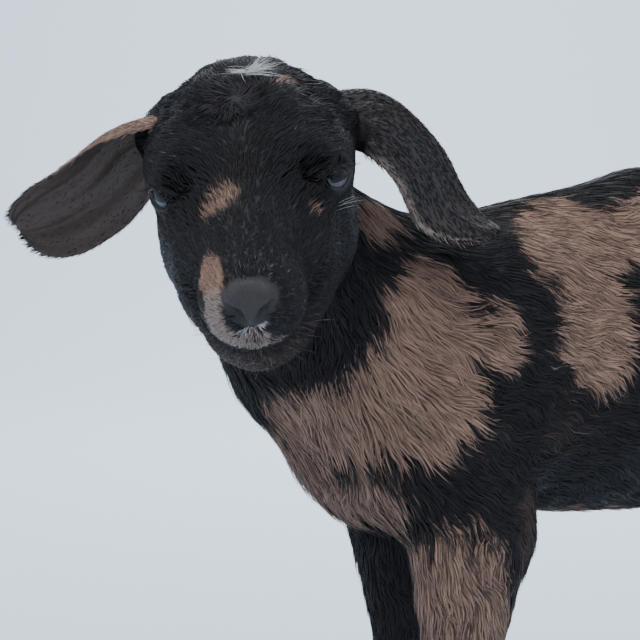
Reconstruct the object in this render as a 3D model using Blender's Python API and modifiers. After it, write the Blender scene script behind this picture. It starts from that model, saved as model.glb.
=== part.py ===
"""A goat kid of two to three weeks, standing square with its head turned to its left.

The kid faces -Y, its left side is at +X and the floor is at Z = 0. All sizes are in metres and degrees.
The body is modelled whole from rounded forms that melt into each other, and is then parted by thin cuts.
"""

import math

import bmesh
import bpy
import numpy as np
from mathutils import Euler, Matrix, Vector

# Gaps and grid sizes
GAP = 0.0003
TRUNK_GRID = 0.0034
HEAD_GRID = 0.0016
FOOT_GRID = 0.0013
TRUNK_TRIANGLES = 3000
HEAD_TRIANGLES = 3400
FOOT_TRIANGLES = 940

# Head: the point midway between the eyes, and the way that the head is turned
HEAD_POINT = (0.0595, -0.2054, 0.3993)
HEAD_YAW = 72.0
HEAD_PITCH = 29.0
HEAD_ROLL = 5.7
EYE_SIDE = 0.0288
EYE_AHEAD = 0.0050
EYE_UP = 0.0030
EYE_RADIUS = 0.0112
LID_THICK = 0.0014
EYE_OPEN_LONG = 0.0074
EYE_OPEN_HIGH = 0.0046
EYE_LOOK = 45.0
EYE_RISE_LEFT = 13.0
EYE_RISE_RIGHT = 2.0
MUZZLE_AHEAD = 0.0700
NOSE_AHEAD = 0.0840

# Ears
EAR_WIDE = 0.0205
EAR_THICK = 0.0017
EAR_STEPS = 12
EAR_COLUMNS = 8

# Trunk
BACK_HIGH = 0.4060
WITHERS_HIGH = 0.3880
RIB_WIDE = 0.0570
CHEST_AHEAD = -0.1150
RUMP_BEHIND = 0.1620

# Legs: how far each stands from the middle, and where its joints are along the body
FORE_SIDE = 0.0400
HIND_SIDE = 0.0420
ELBOW_HIGH = 0.2420
KNEE_HIGH = 0.1480
HOCK_HIGH = 0.1650
FETLOCK_HIGH = 0.0600
FORE_CUT = 0.2300
HIND_CUT = 0.2360
CLAW_SPREAD = 0.0082
CLAW_HIGH = 0.0230
PASTERN_AHEAD = 0.0130
SPUR_SIDE = 0.0072
SPUR_HIGH = 0.0480
SPUR_BEHIND = 0.0130

# Cuts between head, neck and torso: a point of each, and the way that it faces
HEAD_CUT = (0.0140, -0.1820, 0.3850)
HEAD_CUT_WAY = (0.55, -0.45, 0.70)
NECK_CUT = (0.0, -0.1080, 0.3300)
NECK_CUT_WAY = (0.0, -0.77, 0.64)

# Other cuts: how long and wide each flat cutter is, and how far the split between two claws is open
HEAD_CUT_SIZE = (0.16, 0.16, GAP)
NECK_CUT_SIZE = (0.20, 0.24, GAP)
TAIL_CUT_SIZE = (0.06, 0.05, GAP)
LEG_CUT_SIZE = (0.072, 0.150, GAP)
KNEE_CUT_SIZE = (0.072, 0.120, GAP)
CORONET_CUT_SIZE = (0.05, 0.07, GAP)
SPUR_CUT_SIZE = (0.05, 0.018, GAP)
CLAW_SPLIT_SIZE = (0.09, 0.0305, 0.0016)
FLOOR_SIZE = (0.12, 0.16, 0.06)
LEVEL = (0.0, 0.0, 1.0)
ALONG = (0.0, 1.0, 0.0)

# Tail
TAIL_ROOT = (0.0, 0.2140, 0.3820)

# Locks: rings along each, how deep its root is sunk, how far it rises and how far its tip stands off
LOCK_RINGS = 4
LOCK_SUNK = 0.0026
LOCK_RISE = 0.0013
LOCK_LIFT = 0.0016
LOCK_THICK = 0.0015
LOCK_WAVE = 0.50
LOCK_DRAWS = 9000
LOCK_SEED = 12

# Where the locks grow: the tuft between the ears, round its two horn-bud whorls, the chest and the tail
TUFT_MIDDLE = (0.0, 0.0160)
TUFT_REACH = (0.0310, 0.0270)
TUFT_SPACING = 0.0100
TUFT_LONG = 0.0210
BUD_PLACE = (0.0150, 0.0080, 0.0310)
WHORL_REACH = 0.0110
CHEST_SPACING = 0.0155
CHEST_LONG = 0.0330
CHEST_BEHIND = -0.1220
CHEST_TOP = 0.3250
CHEST_FOOT = 0.2460
TAIL_SPACING = 0.0175
TAIL_LONG = 0.0240


def turned(turn):
    """Rotation of three angles in degrees, as a 3 x 3 array."""
    return np.array(Euler([math.radians(angle) for angle in turn]).to_matrix())


def head_frame():
    """Rotation of the head: -Y is its face, +X its left and +Z its crown."""
    yaw = Matrix.Rotation(math.radians(HEAD_YAW), 3, "Z")
    pitch = Matrix.Rotation(math.radians(HEAD_PITCH), 3, "X")
    roll = Matrix.Rotation(math.radians(-HEAD_ROLL), 3, "Y")
    return np.array(yaw @ pitch @ roll)


HEAD_AXES = head_frame()


def from_head(local):
    """World place of a point that is given in the head's own frame."""
    return np.array(HEAD_POINT) + HEAD_AXES @ np.array(local, float)


class Oval:
    """An ellipsoid: centre, half-lengths, and its turn in degrees."""

    def __init__(self, centre, radii, turn=(0, 0, 0), axes=None):
        self.centre = np.array(centre, float)
        self.radii = np.array(radii, float)
        self.axes = (np.eye(3) if axes is None else axes) @ turned(turn)

    def distance(self, points):
        local = (points - self.centre) @ self.axes / self.radii
        reach = np.linalg.norm(local, axis=1)
        slope = np.linalg.norm(local / self.radii, axis=1)
        return reach * (reach - 1.0) / np.maximum(slope, 1e-6)

    def seeds(self):
        matrix = Matrix(self.axes.tolist()).to_4x4() @ Matrix.Diagonal((*self.radii, 1.0))
        matrix.translation = Vector(self.centre)
        return [matrix]


class Limb:
    """A rod with round ends that tapers, and may be flatter from side to side."""

    def __init__(self, start, end, start_radius, end_radius, flat=1.0):
        self.start = np.array(start, float)
        self.end = np.array(end, float)
        self.start_radius = start_radius
        self.end_radius = end_radius
        self.flat = flat

    def distance(self, points):
        along = self.end - self.start
        share = np.clip((points - self.start) @ along / (along @ along), 0.0, 1.0)
        offset = points - self.start - share[:, None] * along
        offset[:, 0] /= self.flat
        radius = self.start_radius + share * (self.end_radius - self.start_radius)
        return np.linalg.norm(offset, axis=1) - radius

    def seeds(self):
        smallest = min(self.start_radius, self.end_radius)
        count = max(2, math.ceil(np.linalg.norm(self.end - self.start) / (0.5 * smallest)))
        found = []
        for share in np.linspace(0.0, 1.0, count):
            radius = self.start_radius + share * (self.end_radius - self.start_radius)
            matrix = Matrix.Diagonal((radius * self.flat, radius, radius, 1.0))
            matrix.translation = Vector(self.start + share * (self.end - self.start))
            found.append(matrix)
        return found


class Flesh:
    """A group of forms that melt together, joined softly to the groups before it."""

    def __init__(self, forms, softness, join):
        self.forms = forms
        self.softness = softness
        self.join = join

    def distance(self, points):
        total = np.zeros(len(points))
        for form in self.forms:
            total += np.exp(-np.clip(form.distance(points) / self.softness, -60.0, 200.0))
        return -self.softness * np.log(np.maximum(total, 1e-80))


def melted(first, second, softness):
    """Smooth union of two distances."""
    near = np.maximum(softness - np.abs(first - second), 0.0) / softness
    return np.minimum(first, second) - near * near * softness / 4.0


def body_distance(points, groups, creases=()):
    """Distance to the surface of the groups, less the creases that are pressed into it."""
    total = groups[0].distance(points)
    for group in groups[1:]:
        total = melted(total, group.distance(points), group.join)
    for crease in creases:
        total = -melted(-total, crease.distance(points), crease.join)
    return total


def surface_slope(points, groups, creases=()):
    """Slope of the distance at each point, which faces outward."""
    step = 0.0002
    slope = np.empty_like(points)
    for axis in range(3):
        shift = np.zeros(3)
        shift[axis] = step
        above = body_distance(points + shift, groups, creases)
        below = body_distance(points - shift, groups, creases)
        slope[:, axis] = (above - below) / (2.0 * step)
    return slope


def settled(points, groups, creases=(), rounds=4):
    """The points moved along the slope of the distance until they lie on the surface."""
    for _ in range(rounds):
        value = body_distance(points, groups, creases)
        slope = surface_slope(points, groups, creases)
        size = np.maximum((slope * slope).sum(axis=1), 0.05)
        move = -value[:, None] * slope / size[:, None]
        points = points + np.clip(move, -0.004, 0.004)
    return points


def both_sides(make):
    """The forms that a function gives for the left side and for the right."""
    return make(1.0) + make(-1.0)


def head_oval(centre, radii, turn=(0, 0, 0)):
    return Oval(from_head(centre), radii, turn, HEAD_AXES)


def head_limb(start, end, start_radius, end_radius):
    return Limb(from_head(start), from_head(end), start_radius, end_radius)


def head_side(side):
    """Cheek, temple, brow, jaw and ear root of one side of the head."""
    return [
        head_oval((side * 0.0255, 0.0120, 0.0020), (0.0170, 0.0260, 0.0220)),
        head_oval((side * 0.0240, -0.0060, 0.0120), (0.0150, 0.0170, 0.0110), (0, side * 20, 0)),
        head_oval((side * 0.0235, 0.0030, -0.0260), (0.0170, 0.0300, 0.0240)),
        head_oval((side * 0.0170, -0.0250, -0.0040), (0.0140, 0.0250, 0.0150)),
        head_oval((side * 0.0175, -0.0290, -0.0230), (0.0150, 0.0290, 0.0190)),
        head_limb((side * 0.0165, 0.0020, -0.0400), (side * 0.0095, -0.0520, -0.0380), 0.0110, 0.0100),
        head_oval((side * 0.0085, -MUZZLE_AHEAD + 0.002, -0.0120), (0.0098, 0.0158, 0.0122)),
        head_limb((side * 0.0300, 0.0300, 0.0140), (side * 0.0400, 0.0300, 0.0090), 0.0120, 0.0080),
        head_oval((side * BUD_PLACE[0], BUD_PLACE[1], BUD_PLACE[2]), (0.0060, 0.0060, 0.0060)),
    ]


def head_flesh():
    """Skull, face and muzzle."""
    middle = [
        head_oval((0, 0.0210, 0.0090), (0.0350, 0.0400, 0.0270)),
        head_oval((0, 0.0020, 0.0140), (0.0300, 0.0320, 0.0200)),
        head_oval((0, -0.0380, 0.0040), (0.0150, 0.0300, 0.0135)),
        head_limb((0, -0.0080, 0.0090), (0, -0.0680, -0.0050), 0.0210, 0.0150),
        head_oval((0, -0.0720, -0.0060), (0.0125, 0.0125, 0.0110)),
        head_oval((0, -0.0700, -0.0185), (0.0115, 0.0120, 0.0095)),
        head_oval((0, -0.0585, -0.0365), (0.0135, 0.0160, 0.0110)),
        head_oval((0, -0.0250, -0.0290), (0.0120, 0.0330, 0.0120)),
        head_oval((0, 0.0260, 0.0310), (0.0230, 0.0210, 0.0080)),
    ]
    return Flesh(middle + both_sides(head_side), 0.0042, 0.012)


def nose_flesh():
    """Nose pad that narrows to its lower tip, with a wing on each side."""
    forms = [
        head_oval((0, -NOSE_AHEAD + 0.0008, -0.0020), (0.0080, 0.0050, 0.0086)),
        head_oval((0, -NOSE_AHEAD - 0.0010, -0.0082), (0.0042, 0.0044, 0.0046)),
    ]
    for side in (1.0, -1.0):
        forms.append(head_oval((side * 0.0060, -NOSE_AHEAD + 0.0008, -0.0004), (0.0040, 0.0052, 0.0050)))
    return Flesh(forms, 0.0012, 0.003)


def on_face(path):
    """Points of the head's own frame, moved onto the face."""
    world = np.array([from_head(point) for point in path])
    return settled(world, [head_flesh(), nose_flesh()], rounds=8)


def mouth_crease():
    """Line of the mouth from corner to corner, and the groove from the nose down to it."""
    path = [(0.0245, -0.0470, -0.0160), (0.0225, -0.0570, -0.0195), (0.0200, -0.0660, -0.0232)]
    path += [(0.0165, -0.0720, -0.0262), (0.0115, -0.0780, -0.0284), (0.0060, -0.0810, -0.0296)]
    middle = (0.0, -0.0820, -0.0300)
    world = on_face(path + [middle] + [(-x, y, z) for x, y, z in reversed(path)])
    forms = [Limb(a, b, 0.0015, 0.0015) for a, b in zip(world, world[1:])]
    groove = on_face([(0.0, -0.0890, -0.0135), (0.0, -0.0860, -0.0290)])
    forms.append(Limb(groove[0], groove[1], 0.0009, 0.0010))
    return Flesh(forms, 0.0004, 0.0035)


def nostril_crease():
    """Nostrils, as slits under the wings of the nose that run down toward its tip."""
    forms = []
    for side in (1.0, -1.0):
        path = [(side * 0.0100, -0.0890, -0.0026), (side * 0.0070, -0.0920, -0.0062)]
        path.append((side * 0.0030, -0.0920, -0.0098))
        top, middle, low = on_face(path)
        forms += [Limb(top, middle, 0.0009, 0.0018), Limb(middle, low, 0.0018, 0.0008)]
    return Flesh(forms, 0.0004, 0.0010)


def socket_hollow():
    """Shallow hollow under the brow, above and inside each eye."""
    return Flesh(
        [head_oval((side * 0.0270, -0.0300, 0.0160), (0.0085, 0.0130, 0.0085)) for side in (1.0, -1.0)],
        0.0010,
        0.0080,
    )


def neck_flesh():
    """Short thick neck that swings to the head from low between the shoulders."""
    return Flesh(
        [
            Limb((0.000, -0.0950, 0.3180), (0.002, -0.1480, 0.3420), 0.0640, 0.0500, 0.80),
            Limb((0.002, -0.1480, 0.3420), (0.010, -0.1860, 0.3800), 0.0500, 0.0360, 0.86),
            Limb((0.010, -0.1860, 0.3800), (0.018, -0.1930, 0.3960), 0.0340, 0.0300),
            Limb((0.006, -0.1640, 0.3160), (0.030, -0.1900, 0.3480), 0.0290, 0.0240),
        ],
        0.008,
        0.02,
    )


def shoulder_side(side):
    return [
        Oval((side * 0.0340, -0.0800, 0.3150), (0.0220, 0.0440, 0.0640), (-14, 0, 0)),
        Oval((side * 0.0330, -0.1220, 0.2850), (0.0200, 0.0300, 0.0360)),
    ]


def haunch_side(side):
    return [
        Oval((side * 0.0290, 0.1500, 0.3150), (0.0260, 0.0540, 0.0720), (12, 0, 0)),
        Limb((side * 0.0230, 0.1300, 0.3790), (side * 0.0200, 0.1850, 0.3680), 0.0180, 0.0160),
    ]


def trunk_flesh():
    """Chest, ribs, belly, loin and rump."""
    top = [
        Limb((0, -0.0700, WITHERS_HIGH - 0.021), (0, 0.0100, BACK_HIGH - 0.022), 0.0160, 0.0190),
        Limb((0, 0.0100, BACK_HIGH - 0.022), (0, 0.1450, BACK_HIGH - 0.024), 0.0190, 0.0200),
        Limb((0, 0.1450, BACK_HIGH - 0.024), (0, 0.1980, BACK_HIGH - 0.036), 0.0200, 0.0170),
    ]
    barrel = [
        Oval((0, -0.0200, 0.3150), (RIB_WIDE - 0.004, 0.1150, 0.0770)),
        Oval((0, CHEST_AHEAD, 0.2930), (0.0450, 0.0570, 0.0590)),
        Oval((0, 0.0550, 0.3110), (RIB_WIDE, 0.1000, 0.0740)),
        Oval((0, RUMP_BEHIND, 0.3380), (0.0400, 0.0520, 0.0540)),
    ]
    return Flesh(top + barrel + both_sides(shoulder_side) + both_sides(haunch_side), 0.0080, 0.02)


def fore_leg(side, shift):
    """Foreleg of one side, its foot set on by a shift along the body."""
    x = side * FORE_SIDE
    ground = -0.1000 + shift
    middle = -0.0990 + 0.6 * shift
    return Flesh(
        [
            Limb((x * 0.86, -0.1020, 0.2800), (x, -0.0940, ELBOW_HIGH), 0.0330, 0.0305, 0.72),
            Limb((x, -0.0970, ELBOW_HIGH), (x, middle, KNEE_HIGH + 0.014), 0.0305, 0.0145, 0.78),
            Limb((x, middle, KNEE_HIGH + 0.010), (x, middle, KNEE_HIGH - 0.008), 0.0148, 0.0140, 0.96),
            Limb((x, middle, KNEE_HIGH - 0.008), (x, ground, FETLOCK_HIGH + 0.008), 0.0115, 0.0100, 0.96),
            Limb((x, ground, FETLOCK_HIGH + 0.004), (x, ground, FETLOCK_HIGH - 0.004), 0.0122, 0.0120, 1.05),
        ],
        0.0030,
        0.014,
    )


def hind_leg(side, shift):
    """Hind leg of one side, its foot set on by a shift along the body."""
    x = side * HIND_SIDE
    ground = 0.1960 + shift
    hock = 0.2060 + 0.8 * shift
    shank = hock - 0.002
    return Flesh(
        [
            Limb((x * 0.80, 0.1500, 0.3000), (x, 0.1340, 0.2600), 0.0430, 0.0330, 0.64),
            Limb((x * 0.80, 0.1780, 0.3200), (x, 0.1780, 0.2400), 0.0340, 0.0220, 0.66),
            Limb((x, 0.1480, 0.2540), (x, hock - 0.010, HOCK_HIGH + 0.018), 0.0310, 0.0140, 0.70),
            Limb((x, hock + 0.010, HOCK_HIGH + 0.016), (x, hock + 0.001, HOCK_HIGH - 0.008), 0.0085, 0.0110),
            Limb((x, hock - 0.006, HOCK_HIGH + 0.010), (x, shank, HOCK_HIGH - 0.010), 0.0128, 0.0120, 0.95),
            Limb((x, shank, HOCK_HIGH - 0.010), (x, ground, FETLOCK_HIGH + 0.008), 0.0118, 0.0100, 0.94),
            Limb((x, ground, FETLOCK_HIGH + 0.004), (x, ground, FETLOCK_HIGH - 0.004), 0.0122, 0.0120, 1.05),
        ],
        0.0030,
        0.014,
    )


def foot_flesh(x, ground):
    """Pastern and the two claws under a fetlock."""
    forms = []
    toe = ground - PASTERN_AHEAD
    for spread in (CLAW_SPREAD, -CLAW_SPREAD):
        above = (x + 0.4 * spread, ground, FETLOCK_HIGH - 0.004)
        forms.append(Limb(above, (x + spread, toe + 0.002, 0.0260), 0.0092, 0.0076))
        forms.append(Oval((x + spread, toe - 0.0025, 0.0108), (0.0073, 0.0185, 0.0128), (30, 0, 0)))
        forms.append(Oval((x + spread, toe - 0.0065, 0.0030), (0.0064, 0.0160, 0.0070)))
    return Flesh(forms, 0.0013, 0.005)


def tail_flesh():
    """Short tail carried a little out from the rump, then down."""
    x, y, z = TAIL_ROOT
    return Flesh(
        [
            Limb((x, y - 0.020, z - 0.004), (x, y + 0.014, z + 0.002), 0.0120, 0.0120),
            Limb((x, y + 0.014, z + 0.002), (x + 0.002, y + 0.034, z - 0.018), 0.0120, 0.0130),
            Limb((x + 0.002, y + 0.034, z - 0.018), (x + 0.004, y + 0.041, z - 0.052), 0.0130, 0.0070),
        ],
        0.0035,
        0.008,
    )


# Each leg: its side, its maker, how far its foot is shifted, and where its fetlock stands along the body
LEGS = {
    "front_left": (1.0, fore_leg, -0.004, -0.1000),
    "front_right": (-1.0, fore_leg, 0.008, -0.1000),
    "hind_left": (1.0, hind_leg, 0.006, 0.1960),
    "hind_right": (-1.0, hind_leg, -0.010, 0.1960),
}


def leg_place(name):
    """Side distance and fetlock place of a leg."""
    side, make, shift, ground = LEGS[name]
    return side * (FORE_SIDE if make is fore_leg else HIND_SIDE), ground + shift


def collection(name, hidden=False):
    """A collection of the scene."""
    made = bpy.data.collections.new(name)
    bpy.context.scene.collection.children.link(made)
    made.hide_render = hidden
    return made


def mesh_object(name, mesh, home):
    made = bpy.data.objects.new(name, mesh)
    home.objects.link(made)
    return made


def applied(thing):
    """A new mesh with the object's modifiers applied. The object is removed."""
    graph = bpy.context.evaluated_depsgraph_get()
    mesh = bpy.data.meshes.new_from_object(thing.evaluated_get(graph))
    bpy.data.objects.remove(thing)
    return mesh


def skin_mesh(groups, creases, grid, triangles, home):
    """Closed skin over the groups: rounded seeds made one, drawn onto the surface, then thinned."""
    seeds = bmesh.new()
    for group in groups:
        for form in group.forms:
            for matrix in form.seeds():
                bmesh.ops.create_icosphere(seeds, subdivisions=2, radius=1.0, matrix=matrix)
    rough = bpy.data.meshes.new("rough")
    seeds.to_mesh(rough)
    seeds.free()
    thing = mesh_object("rough", rough, home)
    remesh = thing.modifiers.new("grid", "REMESH")
    remesh.mode = "VOXEL"
    remesh.voxel_size = grid
    skin = applied(thing)
    points = np.empty(len(skin.vertices) * 3)
    skin.vertices.foreach_get("co", points)
    points = settled(points.reshape(-1, 3), groups, creases, 5)
    ends = np.empty(len(skin.edges) * 2, int)
    skin.edges.foreach_get("vertices", ends)
    ends = ends.reshape(-1, 2)
    for _ in range(2):
        total = np.zeros_like(points)
        count = np.zeros(len(points))
        for here, there in ((0, 1), (1, 0)):
            np.add.at(total, ends[:, here], points[ends[:, there]])
            np.add.at(count, ends[:, here], 1.0)
        points = 0.5 * points + 0.5 * total / count[:, None]
        points = settled(points, groups, creases, 2)
    skin.vertices.foreach_set("co", points.reshape(-1))
    skin.update()
    thing = mesh_object("skin", skin, home)
    thin = thing.modifiers.new("thin", "DECIMATE")
    thin.ratio = triangles / (2.0 * len(skin.polygons))
    return applied(thing)


def box_cutter(name, centre, normal, size, home, roll=(0.0, 0.0, 1.0)):
    """A flat box: its thin side along the normal, its other two sides from the size."""
    out = Vector(normal).normalized()
    side = Vector(roll).cross(out).normalized()
    rise = out.cross(side)
    axes = Matrix((side, rise, out)).transposed().to_4x4()
    axes.translation = Vector(centre)
    mesh = bpy.data.meshes.new(name)
    shape = bmesh.new()
    bmesh.ops.create_cube(shape, size=1.0, matrix=axes @ Matrix.Diagonal((*size, 1.0)))
    shape.to_mesh(mesh)
    shape.free()
    return cutter_object(name, mesh, home)


def cutter_object(name, mesh, home):
    made = mesh_object(name, mesh, home)
    made.hide_render = True
    made.display_type = "WIRE"
    return made


def bitten(mesh, cutters, home, operation="DIFFERENCE", solver="EXACT"):
    """The mesh with the collection of cutters taken from it or joined to it. The cutters are removed."""
    thing = mesh_object("whole", mesh, home)
    cut = thing.modifiers.new("cut", "BOOLEAN")
    cut.operation = operation
    cut.operand_type = "COLLECTION"
    cut.collection = cutters
    cut.solver = solver
    made = applied(thing)
    for cutter in list(cutters.objects):
        bpy.data.objects.remove(cutter)
    return made


def island_at(mesh, place):
    """The separate body of the mesh whose surface comes nearest to a place, as a mesh of its own."""
    shape = bmesh.new()
    shape.from_mesh(mesh)
    bmesh.ops.remove_doubles(shape, verts=shape.verts, dist=1e-6)
    target = Vector(place)
    start = min(shape.verts, key=lambda vertex: (vertex.co - target).length_squared)
    found = {start}
    edge = [start]
    while edge:
        vertex = edge.pop()
        for link in vertex.link_edges:
            other = link.other_vert(vertex)
            if other not in found:
                found.add(other)
                edge.append(other)
    bmesh.ops.delete(shape, geom=[vertex for vertex in shape.verts if vertex not in found], context="VERTS")
    bmesh.ops.triangulate(shape, faces=shape.faces)
    made = bpy.data.meshes.new("island")
    shape.to_mesh(made)
    shape.free()
    return made


def material(name, colour, roughness):
    made = bpy.data.materials.new(name)
    made.use_nodes = True
    shader = made.node_tree.nodes["Principled BSDF"]
    shader.inputs["Base Color"].default_value = (*colour, 1.0)
    shader.inputs["Roughness"].default_value = roughness
    shader.inputs["Metallic"].default_value = 0.0
    return made


def node(name, mesh, finish, home):
    """A finished sub-part with its own origin in its middle."""
    mesh.name = name
    corners = np.array([vertex.co for vertex in mesh.vertices])
    centre = Vector(((corners.min(axis=0) + corners.max(axis=0)) / 2.0).round(4).tolist())
    mesh.transform(Matrix.Translation(-centre))
    mesh.materials.clear()
    mesh.materials.append(finish)
    mesh.shade_smooth()
    made = mesh_object(name, mesh, home)
    made.location = centre
    return made


def unit(vectors):
    """Each vector at length one."""
    return vectors / np.maximum(np.linalg.norm(vectors, axis=-1, keepdims=True), 1e-9)


def chest_rule(points, normals):
    """Spacing, length and half-width of the locks on throat, chest and tail. No spacing means no lock."""
    x, y, z = points.T
    chest = (y < CHEST_BEHIND) & (z > CHEST_FOOT) & (z < CHEST_TOP) & (normals[:, 1] < -0.10)
    tail = (y > TAIL_ROOT[1] + 0.018) & (z > TAIL_ROOT[2] - 0.048)
    spacing = np.zeros(len(points))
    spacing[chest] = CHEST_SPACING
    spacing[tail] = TAIL_SPACING
    length = np.where(tail, TAIL_LONG, CHEST_LONG)
    return spacing, length, 0.23 * length


def chest_lie(points, normals):
    """The coat hangs straight down the chest and down the tail."""
    x, y, z = points.T
    way = np.tile((0.0, 0.10, -1.0), (len(x), 1))
    way[:, 0] = 0.25 * np.sign(x)
    way[y > TAIL_ROOT[1]] = (0.0, 0.45, -0.90)
    return way


def tuft_rule(points, normals):
    """Spacing, length and half-width of the locks of the tuft between the ears."""
    local = (points - np.array(HEAD_POINT)) @ HEAD_AXES
    across = (local[:, 0] - TUFT_MIDDLE[0]) / TUFT_REACH[0]
    along = (local[:, 1] - TUFT_MIDDLE[1]) / TUFT_REACH[1]
    spacing = np.where((across**2 + along**2 < 1.0) & (local[:, 2] > 0.0150), TUFT_SPACING, 0.0)
    length = TUFT_LONG * (1.0 - 0.25 * np.minimum(np.abs(across), 1.0))
    return spacing, length, 0.21 * length


def tuft_lie(points, normals):
    """The tuft fans forward and outward from the crown, and winds round each horn bud."""
    local = (points - np.array(HEAD_POINT)) @ HEAD_AXES
    way = np.tile((0.0, -0.9, 0.2), (len(local), 1))
    way[:, 0] = 1.2 * local[:, 0] / TUFT_REACH[0]
    for side in (1.0, -1.0):
        arm = local[:, :2] - np.array((side * BUD_PLACE[0], BUD_PLACE[1]))
        reach = np.linalg.norm(arm, axis=1, keepdims=True)
        wind = np.exp(-((reach / WHORL_REACH) ** 2))
        arm = arm / np.maximum(reach, 1e-6)
        round_bud = np.stack([-side * arm[:, 1], side * arm[:, 0], np.zeros(len(arm))], axis=1)
        outward = np.stack([arm[:, 0], arm[:, 1], np.zeros(len(arm))], axis=1)
        way = way * (1.0 - wind) + (0.9 * round_bud + 0.4 * outward) * wind
    return way @ HEAD_AXES.T


def lock_mesh(path, sides, outs, half_width):
    """A flat lock that tapers to its tip, along a path of places with their side and outward ways."""
    shape = bmesh.new()
    rings = []
    last = len(path) - 1
    for index, (place, side, out) in enumerate(zip(path[:-1], sides, outs)):
        share = index / last
        wide = half_width * (0.80 + 0.55 * share) * (1.0 - share**2.4)
        thick = LOCK_THICK * (1.1 - 0.6 * share)
        corners = (side * wide, out * thick, -side * wide, -out * thick)
        rings.append([shape.verts.new(Vector(place + corner)) for corner in corners])
    tip = shape.verts.new(Vector(path[-1]))
    for first, second in zip(rings, rings[1:]):
        for corner in range(4):
            after = (corner + 1) % 4
            shape.faces.new((first[corner], first[after], second[after], second[corner]))
    for corner in range(4):
        shape.faces.new((rings[-1][corner], rings[-1][(corner + 1) % 4], tip))
    shape.faces.new(list(reversed(rings[0])))
    bmesh.ops.recalc_face_normals(shape, faces=shape.faces)
    bmesh.ops.triangulate(shape, faces=shape.faces)
    mesh = bpy.data.meshes.new("lock")
    shape.to_mesh(mesh)
    shape.free()
    return mesh


def lock_roots(groups, low, high, rule, rng):
    """Places on the surface, kept apart by the rule, with the length and half-width of each lock."""
    points = settled(rng.uniform(low, high, (LOCK_DRAWS, 3)), groups, rounds=14)
    points = points[np.abs(body_distance(points, groups)) < 0.0003]
    spacing, length, half_width = rule(points, unit(surface_slope(points, groups)))
    chosen = []
    for index in np.flatnonzero(spacing > 0.0):
        if all(np.linalg.norm(points[index] - points[other]) > spacing[index] for other in chosen):
            chosen.append(index)
    return points[chosen], length[chosen], half_width[chosen]


def add_locks(groups, low, high, rule, lie, cutters):
    """Sets locks on the surface of the groups, by a rule for their size and one for the way that they lie."""
    rng = np.random.default_rng(LOCK_SEED)
    here, length, half_width = lock_roots(groups, low, high, rule, rng)
    length = length * rng.uniform(0.82, 1.18, len(here))
    phase = rng.uniform(0.0, 2.0 * math.pi, len(here))
    lift = LOCK_LIFT * rng.uniform(0.4, 1.4, len(here))
    paths, sides, outs = [], [], []
    for ring in range(LOCK_RINGS + 1):
        share = ring / LOCK_RINGS
        out = unit(surface_slope(here, groups))
        way = unit(lie(here, out))
        way = unit(way - out * (way * out).sum(axis=1, keepdims=True))
        side = np.cross(out, way)
        climb = math.sin(0.5 * math.pi * min(share / 0.5, 1.0))
        level = -LOCK_SUNK + (LOCK_SUNK + LOCK_RISE) * climb + lift * share**3
        paths.append(here + out * level[:, None])
        sides.append(side)
        outs.append(out)
        swing = LOCK_WAVE * np.cos(2.0 * math.pi * share + phase)
        step = (way + side * swing[:, None]) * (length / LOCK_RINGS)[:, None]
        here = settled(here + step, groups, rounds=3)
    for index in range(len(here)):
        path, side, out = ([ring[index] for ring in rings] for rings in (paths, sides, outs))
        cutter_object("lock", lock_mesh(path, side, out, half_width[index]), cutters)


def trunk_nodes(finishes, home, cutters):
    """Torso, neck, tail and the upper part of each leg."""
    groups = [trunk_flesh(), neck_flesh(), head_flesh()]
    groups += [make(side, shift) for side, make, shift, _ in LEGS.values()]
    groups.append(tail_flesh())
    mesh = skin_mesh(groups, [], TRUNK_GRID, TRUNK_TRIANGLES, home)
    add_locks(groups, (-0.08, -0.22, 0.22), (0.08, -0.10, 0.34), chest_rule, chest_lie, cutters)
    add_locks(groups, (-0.03, 0.22, 0.30), (0.03, 0.28, 0.41), chest_rule, chest_lie, cutters)
    mesh = bitten(mesh, cutters, home, "UNION", "MANIFOLD")
    box_cutter("head_cut", HEAD_CUT, HEAD_CUT_WAY, HEAD_CUT_SIZE, cutters)
    box_cutter("neck_cut", NECK_CUT, NECK_CUT_WAY, NECK_CUT_SIZE, cutters)
    x, y, z = TAIL_ROOT
    box_cutter("tail_cut", (x, y + 0.010, z), (0.0, 0.97, 0.24), TAIL_CUT_SIZE, cutters)
    for name, (side, make, shift, ground) in LEGS.items():
        front = make is fore_leg
        across = side * (FORE_SIDE if front else HIND_SIDE)
        high = FORE_CUT if front else HIND_CUT
        low = KNEE_HIGH if front else HOCK_HIGH
        along = -0.0920 if front else 0.1550
        box_cutter("leg_cut", (across, along, high), LEVEL, LEG_CUT_SIZE, cutters, ALONG)
        box_cutter("knee_cut", (across, ground + shift, low), LEVEL, KNEE_CUT_SIZE, cutters, ALONG)
    mesh = bitten(mesh, cutters, home, "DIFFERENCE", "MANIFOLD")
    node("torso", island_at(mesh, (0.0, 0.04, 0.41)), finishes["coat"], home)
    node("neck", island_at(mesh, (-0.05, -0.150, 0.340)), finishes["coat"], home)
    node("tail", island_at(mesh, (x, y + 0.055, z - 0.060)), finishes["coat"], home)
    for name, (side, make, shift, ground) in LEGS.items():
        across, _ = leg_place(name)
        front = make is fore_leg
        along, high = (-0.098, 0.190) if front else (0.170, 0.205)
        seed = (across + side * 0.03, along, high)
        node(f"leg_{name}_upper", island_at(mesh, seed), finishes["coat"], home)


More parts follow.
